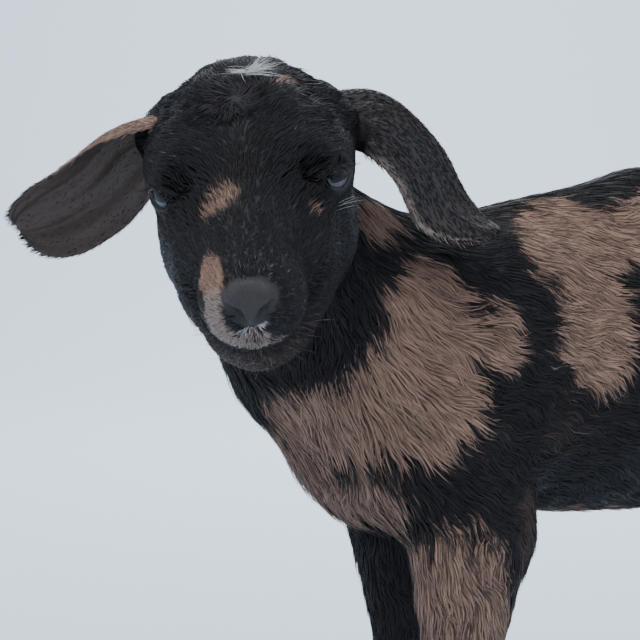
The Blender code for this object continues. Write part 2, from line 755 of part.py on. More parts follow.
def foot_nodes(name, finishes, home, cutters):
    """Lower leg, the two claws and the two dewclaws of one leg."""
    side, make, shift, _ = LEGS[name]
    x, ground = leg_place(name)
    groups = [make(side, shift), foot_flesh(x, ground)]
    low = KNEE_HIGH if make is fore_leg else HOCK_HIGH
    groups[0].forms = groups[0].forms[1:]
    spurs = []
    for way in (1, -1):
        place = (x + way * SPUR_SIDE, ground + SPUR_BEHIND, SPUR_HIGH)
        spurs.append(Oval(place, (0.0036, 0.0050, 0.0058), (20, 0, 0)))
    groups.append(Flesh(spurs, 0.0010, 0.0020))
    mesh = skin_mesh(groups, [], FOOT_GRID, FOOT_TRIANGLES, home)
    toe = ground - PASTERN_AHEAD
    box_cutter("knee_cut", (x, ground, low), LEVEL, KNEE_CUT_SIZE, cutters, ALONG)
    box_cutter("coronet_cut", (x, toe, CLAW_HIGH), (0, 0.36, 1), CORONET_CUT_SIZE, cutters, ALONG)
    box_cutter("claw_split", (x, toe - 0.010, 0.010), (1, 0, 0), CLAW_SPLIT_SIZE, cutters)
    box_cutter("floor", (x, ground, -0.5 * FLOOR_SIZE[2]), LEVEL, FLOOR_SIZE, cutters, ALONG)
    box_cutter("spur_cut", (x, ground + 0.0150, SPUR_HIGH), (0, 1, 0.1), SPUR_CUT_SIZE, cutters)
    mesh = bitten(mesh, cutters, home)
    node(f"leg_{name}_lower", island_at(mesh, (x + side * 0.03, ground, 0.100)), finishes["coat"], home)
    for way, which in ((side, "outer"), (-side, "inner")):
        claw = island_at(mesh, (x + way * 0.020, toe - 0.012, 0.008))
        node(f"hoof_{name}_{which}", claw, finishes["hoof"], home)
        spur = island_at(mesh, (x + way * SPUR_SIDE, ground + 0.030, SPUR_HIGH - 0.002))
        node(f"dewclaw_{name}_{which}", spur, finishes["hoof"], home)


def ball_mesh(name, centre, radius, segments, rings):
    mesh = bpy.data.meshes.new(name)
    shape = bmesh.new()
    bmesh.ops.create_uvsphere(shape, u_segments=segments, v_segments=rings, radius=radius)
    shape.to_mesh(mesh)
    shape.free()
    mesh.transform(Matrix.Translation(Vector(centre)))
    return mesh


def eye_place(side):
    """Centre of an eye, and the way that it looks."""
    centre = from_head((side * EYE_SIDE, -EYE_AHEAD, EYE_UP))
    look = math.radians(EYE_LOOK)
    rise = math.radians(EYE_RISE_LEFT if side > 0.0 else EYE_RISE_RIGHT)
    level = math.cos(rise)
    way = np.array((side * math.sin(look) * level, -math.cos(look) * level, math.sin(rise)))
    return centre, HEAD_AXES @ way


def eye_opening(name, side, home):
    """Almond-shaped cutter that opens the lids in front of an eye."""
    centre, way = eye_place(side)
    up = Vector(HEAD_AXES @ np.array((side * 0.10, 0.0, 1.0)))
    out = Vector(way)
    along = up.cross(out).normalized()
    rise = out.cross(along)
    mesh = bpy.data.meshes.new(name)
    shape = bmesh.new()
    steps = 16
    rings = []
    for reach in (0.0040, 0.0200):
        ring = []
        for index in range(steps):
            angle = 2.0 * math.pi * index / steps
            wide = EYE_OPEN_LONG * math.cos(angle)
            high = EYE_OPEN_HIGH * math.sin(angle) * (1.0 - 0.25 * math.cos(angle) ** 2)
            ring.append(shape.verts.new(Vector(centre) + out * reach + along * wide + rise * high))
        rings.append(ring)
    for index in range(steps):
        after = (index + 1) % steps
        shape.faces.new((rings[0][index], rings[0][after], rings[1][after], rings[1][index]))
    shape.faces.new(list(reversed(rings[0])))
    shape.faces.new(rings[1])
    bmesh.ops.recalc_face_normals(shape, faces=shape.faces)
    shape.to_mesh(mesh)
    shape.free()
    return cutter_object(name, mesh, home)


def lid_flesh():
    """Lids, as balls a little larger than the eyes that they cover."""
    radius = EYE_RADIUS + LID_THICK
    balls = [Oval(eye_place(side)[0], (radius, radius, radius)) for side in (1.0, -1.0)]
    return Flesh(balls, 0.001, 0.004)


# Each ear in the head's frame: points along it from root to tip, and the way that its hollow side faces
EARS = {
    "ear_left": (
        (
            (0.0300, 0.0320, 0.0150),
            (0.0560, 0.0310, 0.0140),
            (0.0745, 0.0240, -0.0050),
            (0.0840, 0.0160, -0.0250),
            (0.0935, 0.0050, -0.0390),
        ),
        (-0.66, 0.25, -0.62),
    ),
    "ear_right": (
        (
            (-0.0300, 0.0300, 0.0150),
            (-0.0530, 0.0300, 0.0050),
            (-0.0690, 0.0290, -0.0100),
            (-0.0860, 0.0290, -0.0200),
            (-0.1040, 0.0270, -0.0270),
        ),
        (0.15, -0.96, -0.10),
    ),
}


def along_path(points, share):
    """Place and direction on a smooth curve through the points, at a share of its length."""
    spans = len(points) - 1
    span = min(int(share * spans), spans - 1)
    t = share * spans - span
    corners = [np.array(points[min(max(span + k, 0), spans)], float) for k in (-1, 0, 1, 2)]
    a, b, c, d = corners
    place = 0.5 * (2 * b + (c - a) * t + (2 * a - 5 * b + 4 * c - d) * t**2 + (3 * b - a - 3 * c + d) * t**3)
    way = 0.5 * ((c - a) + 2 * (2 * a - 5 * b + 4 * c - d) * t + 3 * (3 * b - a - 3 * c + d) * t**2)
    return place, way / np.linalg.norm(way)


def ear_half_width(share):
    """Half-width of the ear's leaf: narrow at its root, wide past its middle, round at its tip."""
    widen = 0.62 + 0.38 * math.sin(0.5 * math.pi * min(share / 0.60, 1.0))
    past = max(share - 0.70, 0.0) / 0.30
    return EAR_WIDE * widen * math.sqrt(max(1.0 - past * past, 0.02))


def ear_mesh(name):
    """A leaf that is rolled into a tube at its root and opens to a hollow with turned-in rims."""
    path, hollow = EARS[name]
    shape = bmesh.new()
    rows = []
    for step in range(EAR_STEPS + 1):
        share = step / EAR_STEPS
        place, way = along_path(path, share)
        face = np.array(hollow, float)
        face -= way * (face @ way)
        face /= np.linalg.norm(face)
        across = np.cross(way, face)
        half = ear_half_width(share)
        bend = math.radians(118.0 - 62.0 * min(share / 0.45, 1.0))
        radius = half / max(math.sin(min(bend, math.pi / 2)), 0.5)
        row = []
        for column in range(EAR_COLUMNS + 1):
            lean = bend * (2.0 * column / EAR_COLUMNS - 1.0)
            local = place + across * radius * math.sin(lean) + face * radius * (1.0 - math.cos(lean))
            row.append(shape.verts.new(from_head(local)))
        rows.append(row)
    for first, second in zip(rows, rows[1:]):
        for column in range(EAR_COLUMNS):
            shape.faces.new((first[column], first[column + 1], second[column + 1], second[column]))
    bmesh.ops.triangulate(shape, faces=shape.faces)
    bmesh.ops.recalc_face_normals(shape, faces=shape.faces)
    mesh = bpy.data.meshes.new(name)
    shape.to_mesh(mesh)
    shape.free()
    return mesh


def grown(mesh, size):
    """A copy of a closed mesh whose surface stands out by a size."""
    made = mesh.copy()
    outward = [vertex.normal.copy() for vertex in made.vertices]
    for vertex, way in zip(made.vertices, outward):
        vertex.co += way * size
    return made


def ear_solid(name, home):
    """The ear's leaf with its thickness."""
    leaf = mesh_object(name, ear_mesh(name), home)
    wall = leaf.modifiers.new("wall", "SOLIDIFY")
    wall.thickness = EAR_THICK
    wall.offset = 0.0
    wall.use_even_offset = False
    return applied(leaf)


def head_nodes(finishes, home, cutters):
    """Head, eyes and ears."""
    groups = [head_flesh(), nose_flesh(), lid_flesh(), neck_flesh()]
    creases = [mouth_crease(), nostril_crease(), socket_hollow()]
    mesh = skin_mesh(groups, creases, HEAD_GRID, HEAD_TRIANGLES, home)
    ears = {}
    for name in EARS:
        cutter_object("head_grown", grown(mesh, GAP), cutters)
        ears[name] = bitten(ear_solid(name, home), cutters, home, "DIFFERENCE", "MANIFOLD")
    low, high = HEAD_POINT - np.full(3, 0.07), HEAD_POINT + np.full(3, 0.07)
    add_locks([groups[0]], low, high, tuft_rule, tuft_lie, cutters)
    mesh = bitten(mesh, cutters, home, "UNION", "MANIFOLD")
    box_cutter("head_cut", HEAD_CUT, HEAD_CUT_WAY, HEAD_CUT_SIZE, cutters)
    for side in (1.0, -1.0):
        centre, _ = eye_place(side)
        cutter_object("socket", ball_mesh("socket", centre, EYE_RADIUS + GAP, 24, 14), cutters)
        eye_opening("opening", side, cutters)
    mesh = bitten(mesh, cutters, home, "DIFFERENCE", "MANIFOLD")
    node("head", island_at(mesh, from_head((0, -0.10, 0.0))), finishes["coat"], home)
    for name, (path, _) in EARS.items():
        node(name, island_at(ears[name], from_head(path[-1])), finishes["coat"], home)
    for side, name in ((1.0, "eye_left"), (-1.0, "eye_right")):
        centre, _ = eye_place(side)
        node(name, ball_mesh(name, centre, EYE_RADIUS, 18, 10), finishes["eye"], home)


def main():
    for thing in list(bpy.data.objects):
        bpy.data.objects.remove(thing)
    home = collection("goat_kid")
    cutters = collection("cutters", hidden=True)
    finishes = {
        "coat": material("coat", (0.030, 0.026, 0.028), 0.75),
        "hoof": material("hoof_horn", (0.045, 0.038, 0.034), 0.45),
        "eye": material("eye", (0.16, 0.19, 0.24), 0.08),
    }
    trunk_nodes(finishes, home, cutters)
    head_nodes(finishes, home, cutters)
    for name in LEGS:
        foot_nodes(name, finishes, home, cutters)
    root = bpy.data.objects.new("root", None)
    home.objects.link(root)
    pieces = [thing for thing in home.objects if thing.type == "MESH"]
    corners = np.array([thing.location + vertex.co for thing in pieces for vertex in thing.data.vertices])
    middle = (corners.min(axis=0) + corners.max(axis=0)) / 2.0
    for thing in pieces:
        thing.parent = root
        thing.location -= Vector((middle[0], middle[1], 0.0))


main()
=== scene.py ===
"""A young lop-eared goat kid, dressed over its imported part: skin, coat, ears, eyes, nose and hooves.

The kid faces -Y with its left side at +X. Forms are worked out in the kid's own frame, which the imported
part shifts along the floor, so each finished mesh is moved by that shift. Sizes are in metres and angles in
degrees.
"""

import logging
import math
from dataclasses import dataclass, field
from enum import Enum
from typing import Callable, Optional, Sequence, Union

import bmesh
import bpy
import numpy as np
from mathutils import Euler, Matrix, Vector
from mathutils.kdtree import KDTree


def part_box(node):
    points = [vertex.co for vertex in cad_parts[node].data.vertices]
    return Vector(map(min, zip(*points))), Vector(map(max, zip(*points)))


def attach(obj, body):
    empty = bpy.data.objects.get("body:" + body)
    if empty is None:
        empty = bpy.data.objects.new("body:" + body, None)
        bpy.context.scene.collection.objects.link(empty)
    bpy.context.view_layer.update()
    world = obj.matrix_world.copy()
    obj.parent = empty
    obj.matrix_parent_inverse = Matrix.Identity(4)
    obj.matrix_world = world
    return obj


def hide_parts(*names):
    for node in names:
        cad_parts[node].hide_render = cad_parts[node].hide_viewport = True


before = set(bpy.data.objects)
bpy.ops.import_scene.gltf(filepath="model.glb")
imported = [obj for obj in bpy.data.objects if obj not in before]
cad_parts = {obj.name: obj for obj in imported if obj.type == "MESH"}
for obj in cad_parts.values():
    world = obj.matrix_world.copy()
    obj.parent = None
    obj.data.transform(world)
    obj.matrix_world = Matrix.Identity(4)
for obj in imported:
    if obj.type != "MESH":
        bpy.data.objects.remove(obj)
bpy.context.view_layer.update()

log = logging.getLogger("goat_kid")

Point = Sequence[float]
Array = np.ndarray

# Left and right, and a form without a turn of its own
SIDES = (1.0, -1.0)
LEVEL = (0.0, 0.0, 0.0)

# Head: the point midway between the eyes, and the way that the head is turned
HEAD_POINT = np.array((0.0595, -0.2054, 0.3993))
HEAD_YAW = 72.0
HEAD_PITCH = 29.0
HEAD_ROLL = 5.7
EYE_SIDE = 0.0288
EYE_AHEAD = 0.005
EYE_UP = 0.003
EYE_RADIUS = 0.0112
LID_THICK = 0.0014
EYE_LOOK = 47.0
MUZZLE_AHEAD = 0.07
NOSE_AHEAD = 0.084
BUD_PLACE = (0.015, 0.008, 0.031)

# Trunk and legs
BACK_HIGH = 0.406
WITHERS_HIGH = 0.388
RIB_WIDE = 0.057
CHEST_AHEAD = -0.115
RUMP_BEHIND = 0.162
FORE_SIDE = 0.04
HIND_SIDE = 0.042
ELBOW_HIGH = 0.242
KNEE_HIGH = 0.148
HOCK_HIGH = 0.165
FETLOCK_HIGH = 0.06
CLAW_SPREAD = 0.0082
PASTERN_AHEAD = 0.013
SPUR_SIDE = 0.0072
SPUR_HIGH = 0.048
SPUR_BEHIND = 0.013
TAIL_ROOT = (0.0, 0.214, 0.382)
HEAD_CUT = np.array((0.014, -0.182, 0.385))
HEAD_CUT_WAY = np.array((0.55, -0.45, 0.7))

# Ears
EAR_WIDE = 0.0205
EAR_THICK = 0.0014

# Grid of the skin, and height below which a leg is its lower part
BODY_GRID = 0.003
SHANK_HIGH = 0.15

# Tufts: the patch that each takes on its map, how far it swells past its root, and how deep the root sits
PATCH = 0.003
BELLY = 1.4
ROOT_DEPTH = 0.0003


def unit(vectors: Array) -> Array:
    """Each vector at length one."""
    return vectors / np.maximum(np.linalg.norm(vectors, axis=-1, keepdims=True), 1e-9)


def turned(turn: Point) -> Array:
    """Rotation of three angles in degrees, as a 3 x 3 array."""
    return np.array(Euler([math.radians(angle) for angle in turn]).to_matrix())


def head_frame() -> Array:
    """Rotation of the head: -Y is its face, +X its left and +Z its crown."""
    yaw = Matrix.Rotation(math.radians(HEAD_YAW), 3, "Z")
    pitch = Matrix.Rotation(math.radians(HEAD_PITCH), 3, "X")
    roll = Matrix.Rotation(math.radians(-HEAD_ROLL), 3, "Y")
    return np.array(yaw @ pitch @ roll)


HEAD_AXES = head_frame()


def from_head(local: Array) -> Array:
    """World place of points that are given in the head's own frame."""
    return HEAD_POINT + np.asarray(local, float) @ HEAD_AXES.T


def to_head(points: Array) -> Array:
    """Points in the head's own frame."""
    return (points - HEAD_POINT) @ HEAD_AXES


def eye_place(side: float) -> tuple[Array, Array]:
    """Centre of an eye, and the way that its lids open."""
    look = math.radians(EYE_LOOK)
    way = HEAD_AXES @ np.array((side * math.sin(look), -math.cos(look), 0.08))
    return from_head((side * EYE_SIDE, -EYE_AHEAD, EYE_UP)), unit(way)


def eye_axes(side: float, look: float, rise: float) -> tuple[Array, Array, Array]:
    """Ways along an eye, up it and out of it, where look and rise are its angles to the side and up."""
    turn, lift = math.radians(look), math.radians(rise)
    local = (side * math.sin(turn) * math.cos(lift), -math.cos(turn) * math.cos(lift), math.sin(lift))
    way = HEAD_AXES @ np.array(local)
    along = unit(np.cross(HEAD_AXES @ np.array((side * 0.1, 0.0, 1.0)), way))
    return along, np.cross(way, along), way


@dataclass
class Lids:
    """Almond opening between the lids of one eye.

    Args:
        side: 1 for the left eye, -1 for the right.
    """

    side: float
    long: float = 0.0054
    high: float = 0.0038
    look: float = 45.0
    rise_left: float = 12.0
    rise_right: float = -1.0

    def axes(self) -> tuple[Array, Array, Array, Array]:
        """Middle of the eyeball, then the ways along the opening, up it and out of it."""
        rise = self.rise_left if self.side > 0.0 else self.rise_right
        return eye_place(self.side)[0], *eye_axes(self.side, self.look, rise)

    def near(self, points: Array, margin: float) -> Array:
        """Which points lie on the eyeball or within a margin of it."""
        return np.linalg.norm(points - eye_place(self.side)[0], axis=1) < EYE_RADIUS + margin

    def share(self, points: Array) -> Array:
        """How far points are from the middle of the opening, where 1 is the rim of the lids."""
        centre, along, rise, way = self.axes()
        arm = unit(points - centre)
        across = arm @ along * EYE_RADIUS / self.long
        high = self.high * (1.0 - 0.25 * np.minimum(across * across, 1.0))
        found = np.hypot(across, arm @ rise * EYE_RADIUS / high)
        return np.where(arm @ way > 0.0, found, 9.0)

    def opened(self, points: Array) -> Array:
        """Skin points drawn in to the rim of the lids, and under the eyeball inside it."""
        centre = self.axes()[0]
        arm = points - centre
        reach = np.linalg.norm(arm, axis=1)
        share = self.share(points)
        rim = EYE_RADIUS - 0.0011 + 0.0024 * ramp(share, 0.94, 1.1)
        rim = rim + 0.0075 * np.maximum(share - 1.1, 0.0) ** 2
        rim = rim - 0.0005 * np.exp(-(((share - 1.42) / 0.09) ** 2))
        near = (share < 2.4) & (reach < EYE_RADIUS + 0.012)
        wanted = np.where(near, np.minimum(reach, rim), reach)
        return centre + arm / np.maximum(reach, 1e-9)[:, None] * wanted[:, None]


BOTH_LIDS = tuple(Lids(side) for side in SIDES)


def ramp(value: Array, low: float, high: float) -> Array:
    """Smooth step from 0 at low to 1 at high. High may be the smaller one."""
    share = np.clip((value - low) / (high - low), 0.0, 1.0)
    return share * share * (3.0 - 2.0 * share)


def wobble(points: Array, size: float, seed: int) -> Array:
    """Smooth noise from about -1 to 1, whose waves are about the size given."""
    rng = np.random.default_rng(seed)
    total = np.zeros(len(points))
    for _ in range(7):
        way = unit(rng.normal(size=3)) * rng.uniform(0.7, 1.6) * 2.0 * math.pi / size
        total += np.sin(points @ way + rng.uniform(0.0, 2.0 * math.pi))
    return total / 3.2


@dataclass
class Oval:
    """An ellipsoid.

    Args:
        centre: its middle.
        radii: its three half-lengths.
        turn: its own turn in degrees.
        axes: the frame that the turn starts from.
    """

    centre: Point
    radii: Point
    turn: Point = LEVEL
    axes: Optional[Array] = None

    def __post_init__(self) -> None:
        """Works out the axes once."""
        self.centre = np.array(self.centre, float)
        self.radii = np.array(self.radii, float)
        base = np.eye(3) if self.axes is None else self.axes
        self.axes = base @ turned(self.turn)

    def distance(self, points: Array) -> Array:
        """Signed distance of points to the surface, near enough for melting."""
        local = (points - self.centre) @ self.axes / self.radii
        reach = np.linalg.norm(local, axis=1)
        slope = np.linalg.norm(local / self.radii, axis=1)
        return reach * (reach - 1.0) / np.maximum(slope, 1e-6)

    def share(self, points: Array) -> Array:
        """Distance from the middle, where 1 is the surface."""
        return np.linalg.norm((points - self.centre) @ self.axes / self.radii, axis=1)

    def ends(self) -> Array:
        """Points that bound the form."""
        return np.array([self.centre])

    def reach(self) -> float:
        """How far the form goes from those points."""
        return float(self.radii.max())

    def seeds(self) -> list[Matrix]:
        """Places of round seeds that fill the form."""
        matrix = Matrix(self.axes.tolist()).to_4x4() @ Matrix.Diagonal((*self.radii, 1.0))
        matrix.translation = Vector(self.centre)
        return [matrix]


@dataclass
class Limb:
    """A rod with round ends that tapers, and may be flatter from side to side."""

    start: Point
    end: Point
    start_radius: float
    end_radius: float
    flat: float = 1.0

    def __post_init__(self) -> None:
        """Makes arrays of both ends."""
        self.start = np.array(self.start, float)
        self.end = np.array(self.end, float)

    def distance(self, points: Array) -> Array:
        """Signed distance of points to the surface."""
        along = self.end - self.start
        share = np.clip((points - self.start) @ along / (along @ along), 0.0, 1.0)
        offset = points - self.start - share[:, None] * along
        offset[:, 0] /= self.flat
        radius = self.start_radius + share * (self.end_radius - self.start_radius)
        return np.linalg.norm(offset, axis=1) - radius

    def ends(self) -> Array:
        """Points that bound the form."""
        return np.array([self.start, self.end])

    def reach(self) -> float:
        """How far the form goes from those points."""
        return max(self.start_radius, self.end_radius)

    def seeds(self) -> list[Matrix]:
        """Places of round seeds that fill the form."""
        smallest = min(self.start_radius, self.end_radius)
        count = max(2, math.ceil(np.linalg.norm(self.end - self.start) / (0.5 * smallest)))
        found = []
        for share in np.linspace(0.0, 1.0, count):
            radius = self.start_radius + share * (self.end_radius - self.start_radius)
            matrix = Matrix.Diagonal((radius * self.flat, radius, radius, 1.0))
            matrix.translation = Vector(self.start + share * (self.end - self.start))
            found.append(matrix)
        return found


@dataclass
class Flesh:
    """Forms that melt together, joined softly to the groups before them.

    Args:
        forms: the forms.
        softness: how softly they melt into each other.
        join: how softly the group joins the groups before it.
        far: distance past which the group isn't worked out.
    """

    forms: list
    softness: float
    join: float
    far: float = 0.045

    def __post_init__(self) -> None:
        """Works out the group's corners."""
        ends = np.concatenate([form.ends() for form in self.forms])
        reach = max(form.reach() for form in self.forms)
        self.low = ends.min(axis=0) - reach - self.far
        self.high = ends.max(axis=0) + reach + self.far

    def distance(self, points: Array) -> Array:
        """Signed distance to the melted forms."""
        near = ((points > self.low) & (points < self.high)).all(axis=1)
        found = np.full(len(points), self.far)
        some = points[near]
        total = np.zeros(len(some))
        for form in self.forms:
            total += np.exp(-np.clip(form.distance(some) / self.softness, -60.0, 200.0))
        found[near] = -self.softness * np.log(np.maximum(total, 1e-80))
        return found


def melted(first: Array, second: Array, softness: float) -> Array:
    """Smooth union of two distances."""
    near = np.maximum(softness - np.abs(first - second), 0.0) / softness
    return np.minimum(first, second) - near * near * softness / 4.0


class KidShape:
    """The kid's whole form: flesh groups, creases pressed into it, and how deep its coat is."""

    def __init__(self) -> None:
        """Builds every group."""
        self.legs = {
            "front_left": (1.0, self.fore_leg, -0.004, -0.1),
            "front_right": (-1.0, self.fore_leg, 0.008, -0.1),
            "hind_left": (1.0, self.hind_leg, 0.006, 0.196),
            "hind_right": (-1.0, self.hind_leg, -0.01, 0.196),
        }
        self.head = [self.head_flesh(), self.nose_flesh(), self.lid_flesh()]
        self.trunk = [self.trunk_flesh(), self.neck_flesh(), self.tail_flesh()]
        self.limbs = [make(side, shift) for side, make, shift, _ in self.legs.values()]
        self.limbs += [self.pastern_flesh(name) for name in self.legs]
        self.limbs += [self.spur_flesh(name) for name in self.legs]
        self.groups = self.trunk + self.head + self.limbs
        self.creases = [self.mouth_crease(), self.nostril_crease(), self.socket_hollow()]

    @staticmethod
    def head_oval(centre: Point, radii: Point, turn: Point = LEVEL) -> Oval:
        """An ellipsoid that is given in the head's frame."""
        return Oval(from_head(centre), radii, turn, HEAD_AXES)

    @staticmethod
    def head_limb(start: Point, end: Point, start_radius: float, end_radius: float) -> Limb:
        """A rod that is given in the head's frame."""
        return Limb(from_head(start), from_head(end), start_radius, end_radius)

    def head_flesh(self) -> Flesh:
        """Skull, face, cheeks and muzzle."""
        oval, limb = self.head_oval, self.head_limb
        forms = [
            oval((0, 0.021, 0.009), (0.035, 0.04, 0.027)),
            oval((0, 0.002, 0.014), (0.03, 0.032, 0.02)),
            oval((0, -0.038, 0.004), (0.015, 0.03, 0.0135)),
            limb((0, -0.008, 0.009), (0, -0.068, -0.005), 0.021, 0.015),
            oval((0, -0.072, -0.006), (0.0125, 0.0125, 0.011)),
            oval((0, -0.07, -0.0185), (0.0115, 0.012, 0.0095)),
            oval((0, -0.0585, -0.0365), (0.0135, 0.016, 0.011)),
            oval((0, -0.025, -0.029), (0.012, 0.033, 0.012)),
            oval((0, 0.026, 0.031), (0.023, 0.021, 0.008)),
        ]
        for side in SIDES:
            forms += [
                oval((side * 0.0255, 0.012, 0.002), (0.017, 0.026, 0.022)),
                oval((side * 0.024, -0.006, 0.012), (0.015, 0.017, 0.011), (0, side * 20, 0)),
                oval((side * 0.0235, 0.003, -0.026), (0.017, 0.03, 0.024)),
                oval((side * 0.017, -0.025, -0.004), (0.014, 0.025, 0.015)),
                oval((side * 0.0175, -0.029, -0.023), (0.015, 0.029, 0.019)),
                limb((side * 0.0165, 0.002, -0.04), (side * 0.0095, -0.052, -0.038), 0.011, 0.01),
                oval((side * 0.0085, -MUZZLE_AHEAD + 0.002, -0.012), (0.0098, 0.0158, 0.0122)),
                limb((side * 0.03, 0.03, 0.014), (side * 0.04, 0.03, 0.009), 0.012, 0.008),
                oval((side * BUD_PLACE[0], BUD_PLACE[1], BUD_PLACE[2]), (0.006, 0.006, 0.006)),
            ]
        return Flesh(forms, 0.0042, 0.012)

    def nose_flesh(self) -> Flesh:
        """Nose pad with its two wings."""
        forms = [
            self.head_oval((0, -NOSE_AHEAD + 0.0008, -0.002), (0.008, 0.005, 0.0086)),
            self.head_oval((0, -NOSE_AHEAD - 0.001, -0.0082), (0.0042, 0.0044, 0.0046)),
        ]
        for side in SIDES:
            place = (side * 0.006, -NOSE_AHEAD + 0.0008, -0.0004)
            forms.append(self.head_oval(place, (0.004, 0.0052, 0.005)))
        return Flesh(forms, 0.0012, 0.003)

    @staticmethod
    def lid_flesh() -> Flesh:
        """Lids, as balls a little larger than the eyes that they cover."""
        radius = EYE_RADIUS + LID_THICK
        balls = [Oval(eye_place(side)[0], (radius, radius, radius)) for side in SIDES]
        return Flesh(balls, 0.001, 0.004)

    def socket_hollow(self) -> Flesh:
        """Shallow hollow under the brow, above and inside each eye."""
        ovals = [self.head_oval((side * 0.027, -0.03, 0.016), (0.0085, 0.013, 0.0085)) for side in SIDES]
        return Flesh(ovals, 0.001, 0.008)

    def on_face(self, local: Sequence[Point]) -> Array:
        """Points of the head's frame drawn onto the face."""
        points = from_head(np.array(local, float))
        return self.drawn(points, [self.head_flesh(), self.nose_flesh()], (), 0.0, 8)

    def mouth_crease(self) -> Flesh:
        """Line of the mouth from corner to corner, and the groove from the nose down to it."""
        half = [(0.0245, -0.047, -0.016), (0.0225, -0.057, -0.0195), (0.02, -0.066, -0.0232)]
        half += [(0.0165, -0.072, -0.0262), (0.0115, -0.078, -0.0284), (0.006, -0.081, -0.0296)]
        world = self.on_face([*half, (0, -0.082, -0.03), *((-x, y, z) for x, y, z in reversed(half))])
        forms = [Limb(a, b, 0.0015, 0.0015) for a, b in zip(world, world[1:])]
        groove = self.on_face([(0, -0.089, -0.0135), (0, -0.086, -0.029)])
        forms.append(Limb(groove[0], groove[1], 0.0009, 0.001))
        return Flesh(forms, 0.0004, 0.0035)

    def nostril_crease(self) -> Flesh:
        """Comma-shaped nostrils, wide above and narrow toward the middle below."""
        forms = []
        path = [(0.01, -0.089, -0.0026), (0.007, -0.092, -0.0062), (0.003, -0.092, -0.0098)]
        for side in SIDES:
            top, middle, low = self.on_face([(side * x, y, z) for x, y, z in path])
            forms += [Limb(top, middle, 0.0009, 0.0018), Limb(middle, low, 0.0018, 0.0008)]
        return Flesh(forms, 0.0004, 0.001)

    @staticmethod
    def neck_flesh() -> Flesh:
        """Short thick neck that swings to the head from low between the shoulders."""
        forms = [
            Limb((0.0, -0.095, 0.318), (0.002, -0.148, 0.342), 0.064, 0.05, 0.8),
            Limb((0.002, -0.148, 0.342), (0.01, -0.186, 0.38), 0.05, 0.036, 0.86),
            Limb((0.01, -0.186, 0.38), (0.018, -0.193, 0.396), 0.034, 0.03),
            Limb((0.006, -0.164, 0.316), (0.03, -0.19, 0.348), 0.029, 0.024),
        ]
        return Flesh(forms, 0.008, 0.02)

    @staticmethod
    def trunk_flesh() -> Flesh:
        """Chest, ribs, belly, loin, rump, shoulders and haunches."""
        forms = [
            Limb((0, -0.07, WITHERS_HIGH - 0.021), (0, 0.01, BACK_HIGH - 0.022), 0.016, 0.019),
            Limb((0, 0.01, BACK_HIGH - 0.022), (0, 0.145, BACK_HIGH - 0.024), 0.019, 0.02),
            Limb((0, 0.145, BACK_HIGH - 0.024), (0, 0.198, BACK_HIGH - 0.036), 0.02, 0.017),
            Oval((0, -0.02, 0.315), (RIB_WIDE - 0.004, 0.115, 0.077)),
            Oval((0, CHEST_AHEAD, 0.293), (0.045, 0.057, 0.059)),
            Oval((0, 0.055, 0.311), (RIB_WIDE, 0.1, 0.074)),
            Oval((0, RUMP_BEHIND, 0.338), (0.04, 0.052, 0.054)),
        ]
        for side in SIDES:
            forms += [
                Oval((side * 0.034, -0.08, 0.315), (0.022, 0.044, 0.064), (-14, 0, 0)),
                Oval((side * 0.033, -0.122, 0.285), (0.02, 0.03, 0.036)),
                Oval((side * 0.029, 0.15, 0.315), (0.026, 0.054, 0.072), (12, 0, 0)),
                Limb((side * 0.023, 0.13, 0.379), (side * 0.02, 0.185, 0.368), 0.018, 0.016),
            ]
        return Flesh(forms, 0.008, 0.02)

    @staticmethod
    def fore_leg(side: float, shift: float) -> Flesh:
        """Foreleg of one side, its foot set on by a shift along the body."""
        x = side * FORE_SIDE
        ground = -0.1 + shift
        middle = -0.099 + 0.6 * shift
        forms = [
            Limb((x * 0.86, -0.102, 0.28), (x, -0.094, ELBOW_HIGH), 0.033, 0.0305, 0.72),
            Limb((x, -0.097, ELBOW_HIGH), (x, middle, KNEE_HIGH + 0.014), 0.0305, 0.0145, 0.78),
            Limb((x, middle, KNEE_HIGH + 0.01), (x, middle, KNEE_HIGH - 0.008), 0.0148, 0.014, 0.96),
            Limb((x, middle, KNEE_HIGH - 0.008), (x, ground, FETLOCK_HIGH + 0.008), 0.0115, 0.01, 0.96),
            Limb((x, ground, FETLOCK_HIGH + 0.004), (x, ground, FETLOCK_HIGH - 0.004), 0.0122, 0.012, 1.05),
        ]
        return Flesh(forms, 0.003, 0.014)

    @staticmethod
    def hind_leg(side: float, shift: float) -> Flesh:
        """Hind leg of one side, its foot set on by a shift along the body."""
        x = side * HIND_SIDE
        ground = 0.196 + shift
        hock = 0.206 + 0.8 * shift
        shank = hock - 0.002
        forms = [
            Limb((x * 0.8, 0.15, 0.3), (x, 0.134, 0.26), 0.043, 0.033, 0.64),
            Limb((x * 0.8, 0.178, 0.32), (x, 0.178, 0.24), 0.034, 0.022, 0.66),
            Limb((x, 0.148, 0.254), (x, hock - 0.01, HOCK_HIGH + 0.018), 0.031, 0.014, 0.7),
            Limb((x, hock + 0.01, HOCK_HIGH + 0.016), (x, hock + 0.001, HOCK_HIGH - 0.008), 0.0085, 0.011),
            Limb((x, hock - 0.006, HOCK_HIGH + 0.01), (x, shank, HOCK_HIGH - 0.01), 0.0128, 0.012, 0.95),
            Limb((x, shank, HOCK_HIGH - 0.01), (x, ground, FETLOCK_HIGH + 0.008), 0.0118, 0.01, 0.94),
            Limb((x, ground, FETLOCK_HIGH + 0.004), (x, ground, FETLOCK_HIGH - 0.004), 0.0122, 0.012, 1.05),
        ]
        return Flesh(forms, 0.003, 0.014)

    def leg_place(self, name: str) -> tuple[float, float]:
        """Side distance and fetlock place of a leg."""
        side, _, shift, ground = self.legs[name]
        return side * (FORE_SIDE if "front" in name else HIND_SIDE), ground + shift

